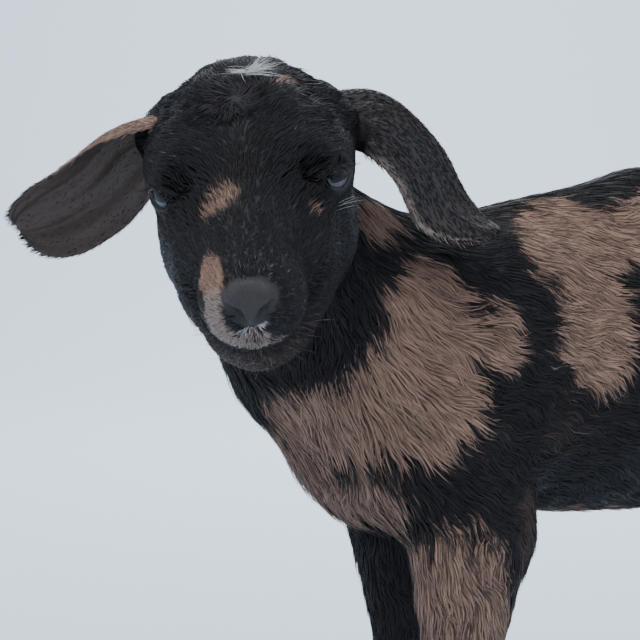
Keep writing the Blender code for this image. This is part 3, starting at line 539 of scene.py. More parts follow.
    def pastern_flesh(self, name: str) -> Flesh:
        """The two pasterns, which end inside the claws."""
        x, ground = self.leg_place(name)
        toe = ground - PASTERN_AHEAD
        forms = []
        for spread in (CLAW_SPREAD, -CLAW_SPREAD):
            above = (x + 0.4 * spread, ground, FETLOCK_HIGH - 0.004)
            forms.append(Limb(above, (x + spread, toe + 0.002, 0.026), 0.0092, 0.0076))
        return Flesh(forms, 0.0013, 0.005)

    def spur_flesh(self, name: str) -> Flesh:
        """The two knobs behind the pasterns that the dewclaws sit on."""
        x, ground = self.leg_place(name)
        knob, stem = (0.0036, 0.005, 0.0058), (0.004, 0.007, 0.0064)
        forms = []
        for way in (SPUR_SIDE, -SPUR_SIDE):
            forms.append(Oval((x + way, ground + SPUR_BEHIND, SPUR_HIGH), knob, (20, 0, 0)))
            forms.append(Oval((x + 0.8 * way, ground + 0.4 * SPUR_BEHIND, SPUR_HIGH + 0.002), stem))
        return Flesh(forms, 0.001, 0.003)

    @staticmethod
    def tail_flesh() -> Flesh:
        """Short tail carried a little out from the rump, then down."""
        x, y, z = TAIL_ROOT
        forms = [
            Limb((x, y - 0.02, z - 0.004), (x, y + 0.014, z + 0.002), 0.012, 0.012),
            Limb((x, y + 0.014, z + 0.002), (x + 0.002, y + 0.034, z - 0.018), 0.012, 0.013),
            Limb((x + 0.002, y + 0.034, z - 0.018), (x + 0.004, y + 0.041, z - 0.052), 0.013, 0.007),
        ]
        return Flesh(forms, 0.0035, 0.008)

    @staticmethod
    def coat_depth(points: Array) -> Array:
        """How far the skin lies under the tips of the coat."""
        local = to_head(points)
        on_head = ramp((points - HEAD_CUT) @ unit(HEAD_CUT_WAY), -0.012, 0.004)
        tuft = ramp(local[:, 1], -0.004, 0.016) * ramp(local[:, 2], 0.01, 0.026)
        head = 0.0009 + 0.0016 * tuft
        body = 0.001 + 0.0022 * ramp(points[:, 2], 0.13, 0.25)
        return body + (head - body) * on_head

    @staticmethod
    def drawn(
        points: Array, groups: list, creases: Sequence[Flesh], depth: Union[float, Callable], rounds: int
    ) -> Array:
        """Points moved along the slope of the distance until they lie on the surface.

        Args:
            points: the points.
            groups: flesh groups that count.
            creases: groups that are pressed in.
            depth: how far under the coat's tips the surface lies, or a function that gives it.
            rounds: how many times they are moved.

        Returns:
            The moved points.
        """
        step = 0.0002
        for _ in range(rounds):
            value = KidShape.distance(points, groups, creases)
            slope = np.empty_like(points)
            for axis in range(3):
                shift = np.zeros(3)
                shift[axis] = step
                slope[:, axis] = (KidShape.distance(points + shift, groups, creases) - value) / step
            value = value + (depth(points) if callable(depth) else depth)
            size = np.maximum((slope * slope).sum(axis=1), 0.05)
            points = points + np.clip(-value[:, None] * slope / size[:, None], -0.004, 0.004)
        return points

    @staticmethod
    def distance(points: Array, groups: list, creases: Sequence[Flesh] = ()) -> Array:
        """Distance to the surface of the groups, less the creases that are pressed into it."""
        total = groups[0].distance(points)
        for group in groups[1:]:
            total = melted(total, group.distance(points), group.join)
        for crease in creases:
            total = -melted(-total, crease.distance(points), crease.join)
        return total


class Marking(Enum):
    """Colours that lie over the black coat."""

    BROWN = "brown"
    TAN = "tan"
    PALE = "pale"
    WHITE = "white"


@dataclass
class Patch:
    """A soft-edged patch of one colour, as an oval on the body."""

    colour: Marking
    oval: Oval
    strength: float = 1.0
    edge: float = 0.16
    ragged: float = 0.13

    def mask(self, points: Array) -> Array:
        """How strongly each point is coloured."""
        share = self.oval.share(points)
        share = share + self.ragged * wobble(points, 0.016, 5) + 0.5 * self.ragged * wobble(points, 0.005, 8)
        return self.strength * ramp(share, 1.0 + self.edge, 1.0 - self.edge)


@dataclass
class Markings:
    """All patches of the coat, and the dark stripe along the spine."""

    patches: list = field(default_factory=list)
    spine: float = 0.0026

    def __post_init__(self) -> None:
        """Lays the patches out."""
        tan, brown, pale, white = Marking.TAN, Marking.BROWN, Marking.PALE, Marking.WHITE

        def body(colour: Marking, centre: Point, radii: Point, turn: Point = LEVEL, **more: float) -> None:
            """Adds a patch of the body."""
            self.patches.append(Patch(colour, Oval(centre, radii, turn), **more))

        def head(colour: Marking, centre: Point, radii: Point, turn: Point = LEVEL, **more: float) -> None:
            """Adds a patch of the head."""
            self.patches.append(Patch(colour, Oval(from_head(centre), radii, turn, HEAD_AXES), **more))

        # Left side, as the photo shows it
        body(tan, (0.052, -0.12, 0.333), (0.042, 0.0215, 0.0335), (8, 0, 0))
        body(tan, (0.054, -0.129, 0.305), (0.04, 0.03, 0.029))
        body(tan, (0.03, -0.16, 0.296), (0.036, 0.027, 0.017), (-8, 0, 0))
        body(tan, (0.032, -0.136, 0.383), (0.018, 0.013, 0.011))
        body(tan, (0.058, -0.0872, 0.332), (0.024, 0.0082, 0.018))
        body(tan, (0.042, -0.042, 0.374), (0.034, 0.03, 0.026))
        body(tan, (0.056, -0.038, 0.336), (0.026, 0.022, 0.033))
        body(tan, (0.044, 0.012, 0.38), (0.032, 0.042, 0.02))
        body(tan, (0.055, -0.1065, 0.199), (0.034, 0.0262, 0.047), (4, 0, 0), strength=0.85)
        body(brown, (0.055, -0.076, 0.242), (0.012, 0.005, 0.022))
        body(tan, (0.006, -0.172, 0.274), (0.03, 0.018, 0.019), strength=0.75)
        body(tan, (0.02, -0.15, 0.256), (0.048, 0.03, 0.016), strength=0.75)
        body(brown, (0.056, -0.053, 0.284), (0.014, 0.012, 0.009), strength=0.6)
        body(tan, (0.01, -0.03, 0.238), (0.026, 0.03, 0.006), strength=0.5)
        # What the photo doesn't show, laid out as the breed's patches go
        body(tan, (0.056, 0.125, 0.325), (0.026, 0.022, 0.027), (20, 0, 0))
        body(tan, (0.042, 0.19, 0.335), (0.024, 0.022, 0.026))
        body(tan, (0.05, 0.188, 0.2), (0.023, 0.02, 0.034), (-14, 0, 0))
        body(tan, (-0.05, -0.132, 0.325), (0.036, 0.026, 0.036))
        body(tan, (-0.052, -0.06, 0.355), (0.03, 0.027, 0.03))
        body(tan, (-0.052, 0.01, 0.348), (0.028, 0.043, 0.027), (6, 0, 0))
        body(tan, (-0.052, 0.13, 0.335), (0.026, 0.026, 0.033), (-12, 0, 0))
        body(tan, (-0.052, 0.17, 0.215), (0.023, 0.02, 0.03), (-14, 0, 0))
        body(brown, (-0.05, 0.065, 0.295), (0.024, 0.036, 0.02), strength=0.7)
        body(tan, (0.003, 0.25, 0.342), (0.011, 0.012, 0.014), strength=0.7)
        # Head
        head(tan, (-0.0108, -0.0437, 0.0184), (0.0088, 0.0062, 0.009), (0, 0, 26), strength=0.8, edge=0.38)
        head(tan, (0.0258, -0.0365, 0.0071), (0.0028, 0.004, 0.004), strength=0.65, edge=0.3, ragged=0.08)
        head(tan, (0.0205, 0.011, 0.0385), (0.0052, 0.003, 0.007), strength=0.8, edge=0.3, ragged=0.08)
        bridge = (-0.015, -0.0735, 0.004)
        head(tan, bridge, (0.0056, 0.011, 0.0085), (0, 0, 14), strength=0.95, ragged=0.08)
        for place in ((-0.0163, -0.083, -0.003), (-0.0165, -0.084, -0.0095), (-0.0135, -0.085, -0.0165)):
            head(pale, place, (0.0064, 0.006, 0.0062), strength=0.9, ragged=0.1)
        for place, strength in (((-0.007, -0.084, -0.0205), 0.8), ((0.0, -0.083, -0.022), 0.7)):
            head(pale, place, (0.0055, 0.0065, 0.004), strength=strength, ragged=0.12)
        head(pale, (0.006, -0.082, -0.0215), (0.005, 0.0065, 0.003), strength=0.45, edge=0.4)
        head(pale, (0.0, -0.087, -0.0165), (0.0056, 0.005, 0.0034), strength=0.8, edge=0.3)
        head(white, (-0.002, -0.088, -0.0136), (0.0036, 0.003, 0.0012), strength=0.45, ragged=0.04)
        streak = (0.0032, -0.0885, -0.0118)
        head(white, streak, (0.0034, 0.003, 0.0012), (0, -28, 0), strength=0.45, ragged=0.04)
        head(brown, (0.0, -0.064, -0.039), (0.015, 0.02, 0.008), strength=0.7, edge=0.4)

    def masks(self, points: Array) -> dict[str, Array]:
        """Strength of each colour at each point."""
        found = {mark.value: np.zeros(len(points)) for mark in Marking}
        for patch in self.patches:
            name = patch.colour.value
            found[name] = np.maximum(found[name], patch.mask(points))
        high = ramp(points[:, 2], 0.385, 0.395) * ramp(points[:, 1], -0.09, -0.06)
        aside = np.abs(points[:, 0]) + 0.0012 * wobble(points, 0.009, 3)
        stripe = high * ramp(aside, self.spine + 0.003, self.spine)
        found["tan"] *= 1.0 - stripe
        return found


def colour_attributes(mesh: bpy.types.Mesh, masks: dict[str, Array], **more: Array) -> None:
    """Stores numbers on the vertices of a mesh, for its finish to read."""
    for name, values in {**masks, **more}.items():
        made = mesh.attributes.new(name, "FLOAT", "POINT")
        made.data.foreach_set("value", np.ascontiguousarray(values, np.float32))


def node_operator(operation: str, swapped: bool = False) -> Callable:
    """An operator of wires that adds one maths node. Swapped puts the other value first."""

    def apply(wire: "Wire", other: object) -> "Wire":
        """Adds the node."""
        return wire.maths(operation, other, wire) if swapped else wire.maths(operation, wire, other)

    return apply


class Wire:
    """An output of a node. Sums and products of wires add their maths nodes."""

    __add__ = node_operator("ADD")
    __radd__ = node_operator("ADD", swapped=True)
    __sub__ = node_operator("SUBTRACT")
    __rsub__ = node_operator("SUBTRACT", swapped=True)
    __truediv__ = node_operator("DIVIDE")
    __pow__ = node_operator("POWER")

    def __init__(self, graph: "Graph", socket: bpy.types.NodeSocket) -> None:
        """Keeps the tree and the socket."""
        self.graph = graph
        self.socket = socket
        self.is_vector = socket.type in ("VECTOR", "RGBA")

    def maths(self, operation: str, first: object, second: object = None) -> "Wire":
        """One maths node on numbers, or on vectors where a wire is one."""
        vectors = any(isinstance(item, Wire) and item.is_vector for item in (first, second))
        inputs = {}
        for index, item in enumerate((first, second)):
            if item is not None:
                number = isinstance(item, (int, float))
                inputs[index] = (item, item, item) if vectors and number else item
        kind = "ShaderNodeVectorMath" if vectors else "ShaderNodeMath"
        return self.graph.made(kind, {"operation": operation}, inputs)

    def __mul__(self, other: object) -> "Wire":
        """Product, or a vector scaled by a number."""
        if isinstance(other, Wire) and self.is_vector != other.is_vector:
            vector, number = (self, other) if self.is_vector else (other, self)
            inputs = {0: vector, "Scale": number}
            return self.graph.made("ShaderNodeVectorMath", {"operation": "SCALE"}, inputs)
        return self.maths("MULTIPLY", self, other)

    def __rmul__(self, other: object) -> "Wire":
        """Product."""
        return self * other

    def dot(self, other: object) -> "Wire":
        """Dot product of two vectors."""
        inputs = {0: self, 1: other}
        return self.graph.made("ShaderNodeVectorMath", {"operation": "DOT_PRODUCT"}, inputs, "Value")

    def absolute(self) -> "Wire":
        """Size of a number without its sign."""
        return self.maths("ABSOLUTE", self)

    def ramp(self, low: float, high: float) -> "Wire":
        """Smooth step from 0 at low to 1 at high, which may be the smaller one."""
        start, end = (low, high) if low < high else (high, low)
        settings = {"interpolation_type": "SMOOTHSTEP"}
        inputs = {"From Min": start, "From Max": end, "Value": self}
        made = self.graph.made("ShaderNodeMapRange", settings, inputs, "Result")
        return made if low < high else 1.0 - made


class Graph:
    """Adds nodes to a tree, one call for each node."""

    def __init__(self, tree: bpy.types.NodeTree) -> None:
        """Keeps the tree."""
        self.tree = tree

    def add(
        self, kind: str, settings: Optional[dict] = None, inputs: Optional[dict] = None
    ) -> bpy.types.Node:
        """Adds a node.

        Args:
            kind: the node's type.
            settings: its properties, which are set first.
            inputs: value or wire of its sockets, by name or number.

        Returns:
            The node.
        """
        node = self.tree.nodes.new(kind)
        for name, value in (settings or {}).items():
            setattr(node, name, value)
        self.feed(node, inputs or {})
        return node

    def feed(self, node: bpy.types.Node, inputs: dict) -> None:
        """Links wires to a node's sockets, or sets their values."""
        for name, value in inputs.items():
            if isinstance(value, Wire):
                self.tree.links.new(value.socket, node.inputs[name])
            else:
                node.inputs[name].default_value = value

    def wire(self, node: bpy.types.Node, output: Union[str, int] = 0) -> Wire:
        """An output of a node as a wire."""
        return Wire(self, node.outputs[output])

    def made(self, kind: str, settings: dict, inputs: dict, output: Union[str, int] = 0) -> Wire:
        """An output of a new node as a wire."""
        return self.wire(self.add(kind, settings, inputs), output)

    def place(self) -> Wire:
        """Object coordinates."""
        return self.made("ShaderNodeTexCoord", {}, {}, "Object")

    def stored(self, name: str) -> Wire:
        """A number that is stored on the mesh."""
        return self.made("ShaderNodeAttribute", {"attribute_name": name}, {}, "Fac")

    def blend(self, share: object, first: object, second: object) -> Wire:
        """Colour between two colours."""
        ends = [(*value, 1.0) if isinstance(value, tuple) else value for value in (first, second)]
        return self.made("ShaderNodeMix", {"data_type": "RGBA"}, {0: share, 6: ends[0], 7: ends[1]}, 2)

    def noise(self, place: Wire, size: float, detail: float) -> Wire:
        """Noise from 0 to 1 whose features are about the size given."""
        inputs = {"Vector": place, "Scale": 1.0 / size, "Detail": detail}
        return self.made("ShaderNodeTexNoise", {}, inputs)

    def bump(self, height: Wire, depth: float, strength: float) -> Wire:
        """Normal that a height gives."""
        inputs = {"Height": height, "Distance": depth, "Strength": strength}
        return self.made("ShaderNodeBump", {}, inputs)


@dataclass(frozen=True)
class Finish:
    """A material of its own.

    Args:
        name: the material's name.
        roughness: how matt it is.
        gloss: specular level.
    """

    name: str
    roughness: float = 0.6
    gloss: float = 0.4

    def start(self) -> tuple[bpy.types.Material, Graph, bpy.types.Node]:
        """An empty material with its shader."""
        made = bpy.data.materials.new(self.name)
        made.use_nodes = True
        shader = made.node_tree.nodes["Principled BSDF"]
        graph = Graph(made.node_tree)
        graph.feed(shader, {"Roughness": self.roughness, "Specular IOR Level": self.gloss})
        return made, graph, shader


@dataclass(frozen=True)
class CoatFinish(Finish):
    """Hair or haired skin, coloured by the masks that its mesh carries, with painted shade at the roots of
    the tufts.
    """

    black: tuple = (0.01, 0.008, 0.0098)
    brown: tuple = (0.052, 0.033, 0.026)
    tan: tuple = (0.27, 0.164, 0.12)
    pale: tuple = (0.33, 0.25, 0.215)
    white: tuple = (0.7, 0.69, 0.7)
    # roots: brightness of a tuft at its root, rising to 1 at its tip: painted shade at the roots
    roots: float = 0.84
    bare: bool = False

    def coloured(self, graph: Graph) -> Wire:
        """The coat's colour from its masks."""
        colour = graph.blend(graph.stored("brown"), self.black, self.brown)
        for name in ("tan", "pale", "white"):
            colour = graph.blend(graph.stored(name), colour, getattr(self, name))
        return colour

    def make(self) -> bpy.types.Material:
        """Builds the material."""
        made, graph, shader = self.start()
        place = graph.place()
        colour = self.coloured(graph)
        if self.bare:
            mottle = 0.6 + 0.6 * graph.noise(place, 0.003, 3.0)
            fine = graph.noise(place, 0.0006, 2.0)
            graph.feed(shader, {"Normal": graph.bump(fine, 0.0003, 0.6)})
        else:
            shade = graph.stored("shade")
            along = graph.stored("along")
            # Painted shade: each tuft is darker at its root than at its tip, and shade also carries the
            # painted shade under the brow and along the mouth
            mottle = (0.82 + 0.36 * shade) * (self.roots + (1.0 - self.roots) * along)
            mottle = mottle * (0.78 + 0.44 * graph.noise(place, 0.022, 2.0))
            strand = graph.stored("across") * graph.stored("breadth") * 2.6 + shade * 37.0
            inputs = {"W": strand, "Scale": 1.0, "Detail": 1.0}
            streak = graph.made("ShaderNodeTexNoise", {"noise_dimensions": "1D"}, inputs)
            mottle = mottle * (0.8 + 0.4 * streak)
        graph.feed(shader, {"Base Color": colour * mottle})
        return made


@dataclass(frozen=True)
class FaceSkinFinish(CoatFinish):
    """Haired skin with the bare nose, lips and lid rims, where nostrils, mouth line and lid rims are painted
    almost black as shade.
    """

    nose: tuple = (0.0215, 0.017, 0.0172)
    # wet: near-black colour of nostrils, mouth line and lid rims, painted shade in these creases
    wet: tuple = (0.0045, 0.0035, 0.0038)
    lip: tuple = (0.13, 0.085, 0.08)

    def make(self) -> bpy.types.Material:
        """Builds the material."""
        made, graph, shader = self.start()
        place = graph.place()
        colour = self.coloured(graph) * (0.45 + 0.5 * graph.noise(place, 0.003, 3.0))
        nose, wet = graph.stored("nose"), graph.stored("wet") ** 0.6
        inputs = {"Vector": place, "Scale": 1100.0}
        cells = graph.made("ShaderNodeTexVoronoi", {"feature": "DISTANCE_TO_EDGE"}, inputs, "Distance")
        pebbles = cells.ramp(0.0, 0.22)
        # Painted shade: the grooves between the pebbles are a fifth darker
        leather = graph.blend(pebbles, tuple(0.8 * part for part in self.nose), self.nose)
        leather = leather * (0.7 + 0.6 * graph.noise(place, 0.006, 3.0))
        colour = graph.blend(nose, colour, leather)
        colour = graph.blend(graph.stored("lip"), colour, self.lip)
        # Painted shade: nostrils, mouth line and lid rims painted almost black; the roughness below makes
        # them glossy as wet skin
        colour = graph.blend(wet, colour, self.wet)
        roughness = 0.72 - 0.24 * nose - 0.35 * wet * (1.0 - nose)
        height = pebbles * nose + 0.4 * graph.noise(place, 0.0007, 2.0)
        normal = graph.bump(height, 0.0003, 0.45)
        graph.feed(shader, {"Base Color": colour, "Roughness": roughness, "Normal": normal})
        return made


@dataclass(frozen=True)
class HornFinish(Finish):
    """Hoof horn with growth lines that run round it."""

    dark: tuple = (0.02, 0.017, 0.016)
    light: tuple = (0.046, 0.037, 0.031)

    def make(self) -> bpy.types.Material:
        """Builds the material."""
        made, graph, shader = self.start()
        place = graph.place()
        height = place.dot((0.0, 0.3, 1.0)) + 0.0016 * graph.noise(place, 0.01, 2.0)
        rings = graph.made("ShaderNodeMath", {"operation": "SINE"}, {0: height * 2600.0})
        grain = graph.noise(place * (1.0, 1.0, 0.12), 0.001, 3.0)
        worn = height.ramp(0.012, 0.001)
        colour = graph.blend(0.35 * grain + 0.5 * worn, self.dark, self.light)
        colour = colour * (0.85 + 0.15 * rings)
        normal = graph.bump(0.5 * rings + grain, 0.0003, 0.5)
        graph.feed(shader, {"Base Color": colour, "Roughness": 0.34 + 0.25 * grain, "Normal": normal})
        return made


@dataclass(frozen=True)
class EyeFinish(Finish):
    """Wet eye: level pupil, pale blue-grey iris with rays and a painted shadow of the upper lid over its
    top, dark rim and dull white.
    """

    centre: tuple = (0.0, 0.0, 0.0)
    along: tuple = (1.0, 0.0, 0.0)
    rise: tuple = (0.0, 0.0, 1.0)
    iris_radius: float = 0.0068
    pupil: tuple = (0.0046, 0.0027)

    def make(self) -> bpy.types.Material:
        """Builds the material."""
        made, graph, shader = self.start()
        offset = graph.place() - self.centre
        across = offset.dot(self.along)
        high = offset.dot(self.rise)
        reach = (across * across + high * high) ** 0.5
        long, tall = self.pupil
        inside = (across.absolute() / long) ** 3.0 + (high.absolute() / tall) ** 3.0
        pupil = inside.ramp(1.25, 0.75)
        angle = high.maths("ARCTAN2", high, across)
        both = graph.made("ShaderNodeCombineXYZ", {}, {0: angle * 9.0, 1: reach * 260.0})
        inputs = {"Scale": 1.0, "Detail": 3.0, "Vector": both}
        ray = graph.made("ShaderNodeTexNoise", {"noise_dimensions": "2D"}, inputs)
        iris = graph.blend(ray.ramp(0.25, 0.75), (0.045, 0.051, 0.06), (0.095, 0.105, 0.12))
        # Painted shadow of the upper lid: the iris darkens toward its top
        lid_shadow = (high / tall).ramp(-0.9, 0.6)
        iris = graph.blend(0.92 * lid_shadow, iris, (0.012, 0.014, 0.018))
        rim = (reach / self.iris_radius).ramp(0.78, 1.02)
        iris = graph.blend(rim, iris, (0.03, 0.03, 0.036))
        white = graph.blend((reach / self.iris_radius).ramp(1.0, 1.12), iris, (0.085, 0.075, 0.075))
        colour = graph.blend(pupil, white, (0.0015, 0.0015, 0.002))
        graph.feed(shader, {"Base Color": colour, "Coat Weight": 0.25, "Coat Roughness": 0.02})
        return made


@dataclass(frozen=True)
class PlainFinish(Finish):
    """One colour all over."""

    colour: tuple = (0.8, 0.8, 0.8)

    def make(self) -> bpy.types.Material:
        """Builds the material."""
        made, graph, shader = self.start()
        graph.feed(shader, {"Base Color": (*self.colour, 1.0)})
        return made


def packed_shift() -> Vector:
    """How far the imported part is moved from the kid's own frame."""
    low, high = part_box("eye_left")
    return (low + high) / 2.0 - Vector(eye_place(1.0)[0])


def new_mesh(name: str, points: Array, faces: Sequence[Sequence[int]]) -> bpy.types.Mesh:
    """A mesh from points and faces."""
    mesh = bpy.data.meshes.new(name)
    mesh.from_pydata(points.tolist() if isinstance(points, np.ndarray) else points, [], faces)
    mesh.update()
    return mesh


def linked(name: str, mesh: bpy.types.Mesh) -> bpy.types.Object:
    """An object of the scene."""
    made = bpy.data.objects.new(name, mesh)
    bpy.context.scene.collection.objects.link(made)
    return made


def applied(thing: bpy.types.Object) -> bpy.types.Mesh:
    """A new mesh with the object's modifiers applied. The object is removed."""
    graph = bpy.context.evaluated_depsgraph_get()
    mesh = bpy.data.meshes.new_from_object(thing.evaluated_get(graph))
    bpy.data.objects.remove(thing)
    return mesh


def read_all(items: bpy.types.bpy_prop_collection, name: str, width: int, kind: type = float) -> Array:
    """One property of every item, as rows of the width given."""
    found = np.empty(len(items) * width, kind)
    items.foreach_get(name, found)
    return found.reshape(-1, width)


def vertex_points(mesh: bpy.types.Mesh) -> Array:
    """Places of the vertices."""
    return read_all(mesh.vertices, "co", 3)


def stored_values(mesh: bpy.types.Mesh, name: str) -> Array:
    """Numbers that are stored on the vertices of a mesh."""
    return read_all(mesh.attributes[name].data, "value", 1, np.float32)[:, 0].astype(float)


def set_points(mesh: bpy.types.Mesh, points: Array) -> None:
    """Moves the vertices."""
    mesh.vertices.foreach_set("co", points.reshape(-1))
    mesh.update()


def vertex_normals(mesh: bpy.types.Mesh) -> Array:
    """Outward ways at the vertices."""
    return read_all(mesh.vertex_normals, "vector", 3)


def triangles_of(mesh: bpy.types.Mesh) -> Array:
    """Corners of the mesh's triangles."""
    mesh.calc_loop_triangles()
    return read_all(mesh.loop_triangles, "vertices", 3, int)


def smoothed(points: Array, mesh: bpy.types.Mesh, share: float) -> Array:
    """Points drawn toward the middle of their neighbours."""
    ends = read_all(mesh.edges, "vertices", 2, int)
    total = np.zeros_like(points)
    count = np.bincount(ends.ravel(), minlength=len(points)).astype(float)
    for axis in range(3):
        total[:, axis] += np.bincount(ends[:, 0], points[ends[:, 1], axis], len(points))
        total[:, axis] += np.bincount(ends[:, 1], points[ends[:, 0], axis], len(points))
    return (1.0 - share) * points + share * total / np.maximum(count, 1.0)[:, None]


def finished(name: str, mesh: bpy.types.Mesh, finish: bpy.types.Material) -> bpy.types.Object:
    """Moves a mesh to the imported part's place, dresses it, and lets it ride on the body."""
    mesh.transform(Matrix.Translation(packed_shift()))
    mesh.materials.clear()
    mesh.materials.append(finish)
    mesh.shade_smooth()
    made = linked(name, mesh)
    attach(made, "root")
    log.info("%s: %d faces", name, len(mesh.polygons))
    return made


def nose_pad(local: Array) -> Array:
    """How far points of the head's frame are from the middle of the nose pad, where 1 is its edge."""
    x, y, z = local.T
    wide = 0.0104 * np.sqrt(np.clip((z + 0.0128) / 0.011, 0.02, 1.0))
    high = np.where(z > -0.001, (z + 0.001) / 0.007, (z + 0.001) / 0.0116)
    return np.where(y < -0.074, np.sqrt((x / wide) ** 2 + high**2), 3.0)


@dataclass
class Skin:
    """One skin over head, neck, trunk, tail and legs."""

    shape: KidShape
    markings: Markings
    grid: float = BODY_GRID
    mesh: Optional[bpy.types.Mesh] = None

    def build(self) -> "Skin":
        """Rounded seeds made one, drawn onto the form, and refined on the head."""
        seeds = bmesh.new()
        for group in self.shape.groups:
            for form in group.forms:
                for matrix in form.seeds():
                    bmesh.ops.create_icosphere(seeds, subdivisions=2, radius=1.0, matrix=matrix)
        rough = bpy.data.meshes.new("seeds")
        seeds.to_mesh(rough)
        seeds.free()
        thing = linked("seeds", rough)
        remesh = thing.modifiers.new("grid", "REMESH")
        remesh.mode = "VOXEL"
        remesh.voxel_size = self.grid
        mesh = applied(thing)
        self.settle(mesh, 4, 2)
        self.refine(mesh, self.on_head)
        self.settle(mesh, 1, 1)
        self.refine(mesh, self.on_features)
        self.settle(mesh, 2, 2)
        self.refine(mesh, self.on_lids)
        self.settle(mesh, 1, 0)
        points = vertex_points(mesh)
        for lids in BOTH_LIDS:
            points = lids.opened(points)
        set_points(mesh, points)
        self.mesh = mesh
        return self

    def settle(self, mesh: bpy.types.Mesh, rounds: int, smooth: int) -> None:
        """Draws the mesh onto the form, and evens it out."""
        shape = self.shape
        points = vertex_points(mesh)
        points = shape.drawn(points, shape.groups, shape.creases, shape.coat_depth, rounds)
        for _ in range(smooth):
            points = smoothed(points, mesh, 0.5)
            points = shape.drawn(points, shape.groups, shape.creases, shape.coat_depth, 1)
        set_points(mesh, points)

    @staticmethod
    def on_head(points: Array) -> Array:
        """Which points are on the head."""
        return (points - HEAD_CUT) @ unit(HEAD_CUT_WAY) > 0.002

    @staticmethod
    def on_features(points: Array) -> Array:
        """Which points are on nose, lips or lids."""
        local = to_head(points)
        muzzle = local[:, 1] < -0.058
        eyes = np.zeros(len(points), bool)
        for lids in BOTH_LIDS:
            centre, way = eye_place(lids.side)
            eyes |= lids.near(points, 0.0043) & ((points - centre) @ way > 0.0)
        mouth = (local[:, 1] < -0.038) & (np.abs(local[:, 2] + 0.021) < 0.006)
        return muzzle | eyes | mouth

    @staticmethod
    def on_lids(points: Array) -> Array:
        """Which points are on the rims of the lids."""
        found = np.zeros(len(points), bool)
        for lids in BOTH_LIDS:
            found |= lids.near(points, 0.006) & (lids.share(points) < 1.7)
        return found

    @staticmethod
    def refine(mesh: bpy.types.Mesh, where: Callable) -> None:
        """Splits the edges of the faces in one area."""
        shape = bmesh.new()
        shape.from_mesh(mesh)
        centres = np.array([edge.verts[0].co + edge.verts[1].co for edge in shape.edges]) / 2.0
        wanted = where(centres)
        edges = [edge for edge, use in zip(shape.edges, wanted) if use]
        bmesh.ops.subdivide_edges(shape, edges=edges, cuts=1, use_grid_fill=True)
        shape.to_mesh(mesh)
        shape.free()
        mesh.update()

    def dress(self) -> bpy.types.Object:
        """Stores masks for hair colours and bare parts, and finishes the piece."""
        points = vertex_points(self.mesh)
        local = to_head(points)
        masks = self.markings.masks(points)
        nose = ramp(nose_pad(local), 1.06, 0.94)
        mouth, nostrils = (crease.distance(points) for crease in self.shape.creases[:2])
        # Mask of the nostrils, the mouth line and the lid rims: painted almost black as shade in these
        # creases, and glossy as wet skin
        wet = np.maximum(ramp(mouth, 0.0008, -0.0001), ramp(nostrils, 0.0016, 0.0003))
        for lids in BOTH_LIDS:
            wet = np.maximum(wet, lids.near(points, 0.004) * ramp(lids.share(points), 1.2, 1.08))
        past_lip = (local - (0.0, -0.085, -0.0165)) / (0.0085, 0.006, 0.0036)
        lip = ramp(np.linalg.norm(past_lip, axis=1), 1.1, 0.5)
        colour_attributes(self.mesh, masks, nose=nose, wet=wet, lip=0.8 * lip * (1.0 - nose))
        finish = FaceSkinFinish("goat_skin", roughness=0.7).make()
        piece = finished("skin", self.mesh.copy(), finish)
        nodes = ["torso", "neck", "tail", "head"]
        for name in self.shape.legs:
            nodes += [f"leg_{name}_upper", f"leg_{name}_lower"]
        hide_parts(*nodes)
        return piece


EARS = {
    "ear_left": (
        ((0.03, 0.032, 0.015), (0.056, 0.031, 0.014), (0.0745, 0.024, -0.005),
         (0.084, 0.016, -0.025), (0.0935, 0.005, -0.039)),
        (-0.66, 0.25, -0.62),
    ),
    "ear_right": (
        ((-0.03, 0.03, 0.015), (-0.053, 0.03, 0.005), (-0.069, 0.029, -0.01),
         (-0.086, 0.029, -0.02), (-0.104, 0.027, -0.027)),
        (0.15, -0.96, -0.1),
    ),
}


